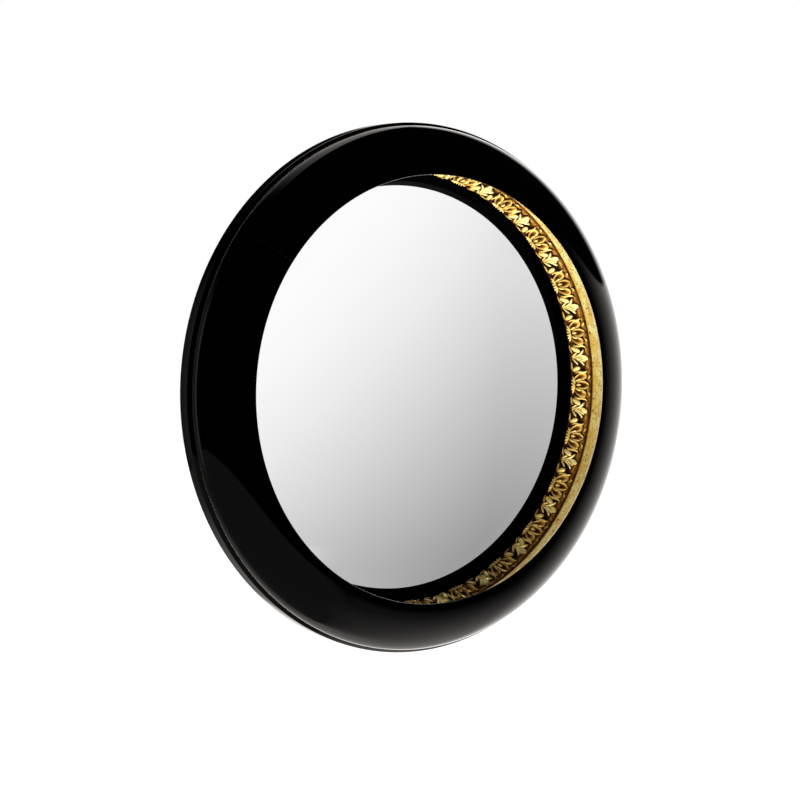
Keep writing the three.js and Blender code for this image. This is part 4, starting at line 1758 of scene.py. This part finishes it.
@dataclass
class Studio:
    """The plain floor, the soft surround, the lamps and the camera."""

    azimuth: float = -34.907
    elevation: float = 2.664
    distance: float = 2.5088
    focal_pixels: float = 1298.39
    sight_depth: float = SIGHT_DEPTH
    middle_pixel: tuple[float, float] = (405.85, 388.14)
    picture: float = 800
    floor_drop: float = 0.78
    floor_size: float = 14
    glass_lamp_size: float = 5.2
    glass_fade: tuple[float, float] = (-0.245, 0.295)  # the shade's change per metre, across and up
    glass_tones: tuple[tuple[float, float], ...] = (
        (0.0, 0.335), (0.12, 0.415), (0.32, 0.565), (0.5, 0.715), (0.68, 0.850), (0.88, 0.955),
        (1.0, 0.985))
    dimmest: float = 0.004
    boards: tuple[Board, ...] = (
        Board((122, 132), (178, 168), (-0.9, -0.5), (0.46, 0.08), 1.5),
        Board((45, 112), (136, 131), (-0.9, -0.6), (0.190, 0.170), 1.4),
        Board((-15, 100), (300, 150), (-1.1, -1.05), (-0.30, -0.85), 0.9),
        Board((-5, -1), (28, 22), (-1.1, -1.05), (-0.330, -0.346), 0.11),
        Board((22, 28), (365, 361), (-1.1, -1.05), (-0.34, -0.48), 0.11),
        Board((56, 62), (365, 361), (-1.1, -1.05), (-0.330, -0.346), 0.11),
        Board((200, 228), (276, 250), (-0.8, -0.3), (0.7, 0.3), 0.13),
        Board((250, 254), (262, 258), (-0.6, -0.3), (0.6, 0.3), 0.6),
    )
    ceiling_place: tuple[float, float] = (214, 27)  # azimuth and elevation
    ceiling_ramps: tuple[tuple[float, float], ...] = (
        (-0.4, 0.2), (0.75, 0.64), (0.24, 0.4), (0.41, 0.47))  # along X, Y, Z and to its middle
    cap_ramps: tuple[tuple[float, float], ...] = ((0.42, 0.58), (0.04, 0.2), (0.54, 0.78))
    cap_strength: float = 1.4
    room_tint: tuple[float, float, float, float] = (1.0, 0.95, 0.92, 1.0)

    def camera(self) -> None:
        """Stand the camera at the photograph's viewing angle."""
        back = direction(self.azimuth, self.elevation)
        lens = bpy.data.cameras.new("camera")
        lens.sensor_width = 36
        lens.lens = lens.sensor_width * self.focal_pixels / self.picture
        lens.clip_start, lens.clip_end = 0.05, 60
        camera = bpy.data.objects.new("camera", lens)
        bpy.context.scene.collection.objects.link(camera)
        across = (self.middle_pixel[0] - self.picture / 2) / self.focal_pixels
        up = (self.picture / 2 - self.middle_pixel[1]) / self.focal_pixels
        turn = Vector((0, 0, -1)).rotation_difference(Vector((across, up, -1)))
        camera.rotation_mode = "QUATERNION"
        camera.rotation_quaternion = (-back).to_track_quat("-Z", "Y") @ turn.inverted()
        camera.location = Vector((0, -self.sight_depth, 0)) + back * self.distance
        bpy.context.scene.camera = camera

    def surround(self) -> None:
        """A white backdrop, and the room that the lacquer reflects: dark in front, with a pale
        floor and white boards behind the mirror."""
        world = bpy.data.worlds.new("studio")
        world.use_nodes = True
        bpy.context.scene.world = world
        tree = Tree(world.node_tree)
        where = tree.add("TexCoord").outputs["Generated"]
        split = tree.add("SeparateXYZ", Vector=where)
        x, y, z = (split.outputs[i] for i in range(3))
        turn = tree.math("ARCTAN2", x, y)
        azimuth = tree.math("SUBTRACT", 180.0, tree.math("MULTIPLY", turn, 180 / math.pi))
        light = self.dimmest
        for board in self.boards:
            glow = tree.product(tree.step(azimuth, *board.left), tree.step(azimuth, *board.right),
                                tree.step(z, *board.bottom), tree.step(z, *board.top),
                                board.strength)
            light = tree.math("MAXIMUM", light, glow)
        to_ceiling = tree.facing(where, direction(*self.ceiling_place))
        ceiling = tree.product(*(tree.step(value, *ramp) for value, ramp in
                                 zip((x, y, z, to_ceiling), self.ceiling_ramps)))
        light = tree.math("MAXIMUM", light, ceiling)
        straight_back = tree.facing(where, direction(self.azimuth + 180, -self.elevation))
        cap = tree.product(*(tree.step(value, *ramp) for value, ramp in
                             zip((x, z, straight_back), self.cap_ramps)), self.cap_strength)
        light = tree.math("MAXIMUM", light, cap)
        room = tree.add("Background", Color=self.room_tint, Strength=light)
        white = tree.add("Background", Color=(1, 1, 1, 1), Strength=1.0)
        path = tree.add("LightPath")
        choice = tree.add("MixShader", Fac=path.outputs["Is Camera Ray"])
        tree.links.new(room.outputs[0], choice.inputs[1])
        tree.links.new(white.outputs[0], choice.inputs[2])
        tree.links.new(choice.outputs[0], tree.nodes["World Output"].inputs["Surface"])

    def glass_light(self, receivers: bpy.types.Collection) -> None:
        """Hang the lamp that the glass reflects, bright at its upper left, grey at lower right.

        Args:
            receivers: The glass.
        """
        size = self.glass_lamp_size
        lamp = Lamp("glass_light", azimuth=36, elevation=-3, distance=3.0, size=(size, size),
                    watts=size * size * math.pi).hang(receivers)
        lamp.data.use_nodes = True
        tree = Tree(lamp.data.node_tree)
        split = tree.add("SeparateXYZ", Vector=tree.add("NewGeometry").outputs["Parametric"])
        shade = 0.5
        for axis, fade in zip("XY", self.glass_fade):
            place = tree.math("SUBTRACT", split.outputs[axis], 0.5)
            shade = tree.math("ADD", shade, tree.math("MULTIPLY", place, fade * size))
        tree.feed(tree.nodes["Emission"].inputs["Color"], tree.ramp(shade, *self.glass_tones))

    def floor(self) -> None:
        """Lay the plain pale floor."""
        bpy.ops.object.select_all(action="DESELECT")
        bpy.ops.mesh.primitive_plane_add(size=self.floor_size,
                                         location=(0, 0, -self.floor_drop))
        floor = bpy.context.active_object
        floor.name = "floor"
        sheet = Sheet("floor", Roughness=0.9, Emission_Strength=1.0)
        grain = sheet.noise(sheet.place(), 40, 3)
        tone = sheet.ramp(grain, (0.3, 0.86), (0.7, 0.92))
        sheet.set(Base_Color=tone, Emission_Color=(1, 1, 1, 1))
        floor.data.materials.append(sheet.material)
        floor.visible_glossy = floor.visible_diffuse = floor.visible_shadow = False

    def build(self, finishes: Finishes) -> None:
        """Set up the studio round the finished mirror.

        Args:
            finishes: The mirror's finishes.
        """
        bpy.context.scene.view_settings.view_transform = "Standard"
        self.camera()
        self.surround()
        self.floor()
        glass = group("glass", finishes.glass)
        gold = group("gold", finishes.leaf, finishes.carving)
        band = group("gilt_band", finishes.leaf)
        carving = group("carving", finishes.carving)
        plain = group("plain", finishes.raw_wood, finishes.stained, finishes.board,
                      finishes.felt, finishes.rubber, finishes.steel)
        for piece in bpy.data.objects:
            piece.visible_glossy = False
        self.glass_light(glass)
        Lamp("band_key", azimuth=-60, elevation=-14, distance=2.6, size=(2.0, 2.0), watts=92,
             colour=(1.0, 0.95, 0.82)).hang(band)
        Lamp("carving_key", azimuth=-62, elevation=-30, distance=2.6, size=(1.6, 1.6), watts=92,
             colour=(1.0, 0.92, 0.70)).hang(carving)
        Lamp("gold_under", azimuth=-34, elevation=-58, distance=2.4, size=(1.2, 1.2), watts=92,
             colour=(0.93, 1.0, 0.98)).hang(gold)
        Lamp("back_left", azimuth=222, elevation=32, distance=2.6, size=(1.4, 1.4),
             watts=34).hang(plain)
        Lamp("back_right", azimuth=138, elevation=12, distance=2.6, size=(0.9, 1.8),
             watts=12).hang(plain)


def group(name: str, *paints: bpy.types.Material) -> bpy.types.Collection:
    """Collect the pieces that wear some materials, for a lamp to light.

    Args:
        name: The collection's name.
        paints: The materials.

    Returns:
        The collection.
    """
    collection = bpy.data.collections.new(name)
    for piece in bpy.data.objects:
        if piece.type == "MESH" and any(m in paints for m in piece.data.materials):
            collection.objects.link(piece)
    return collection


def main() -> None:
    """Build the mirror piece by piece."""
    logging.basicConfig(level=logging.INFO, format="%(message)s")
    finishes = Finishes()
    for part in (FrontRing(), RimRing(), GiltBand(), Frieze(), Liner(), Glass(), Carcass(),
                 Back(), Hangers(), Studio()):
        part.build(finishes)


if __name__ == "__main__":
    main()
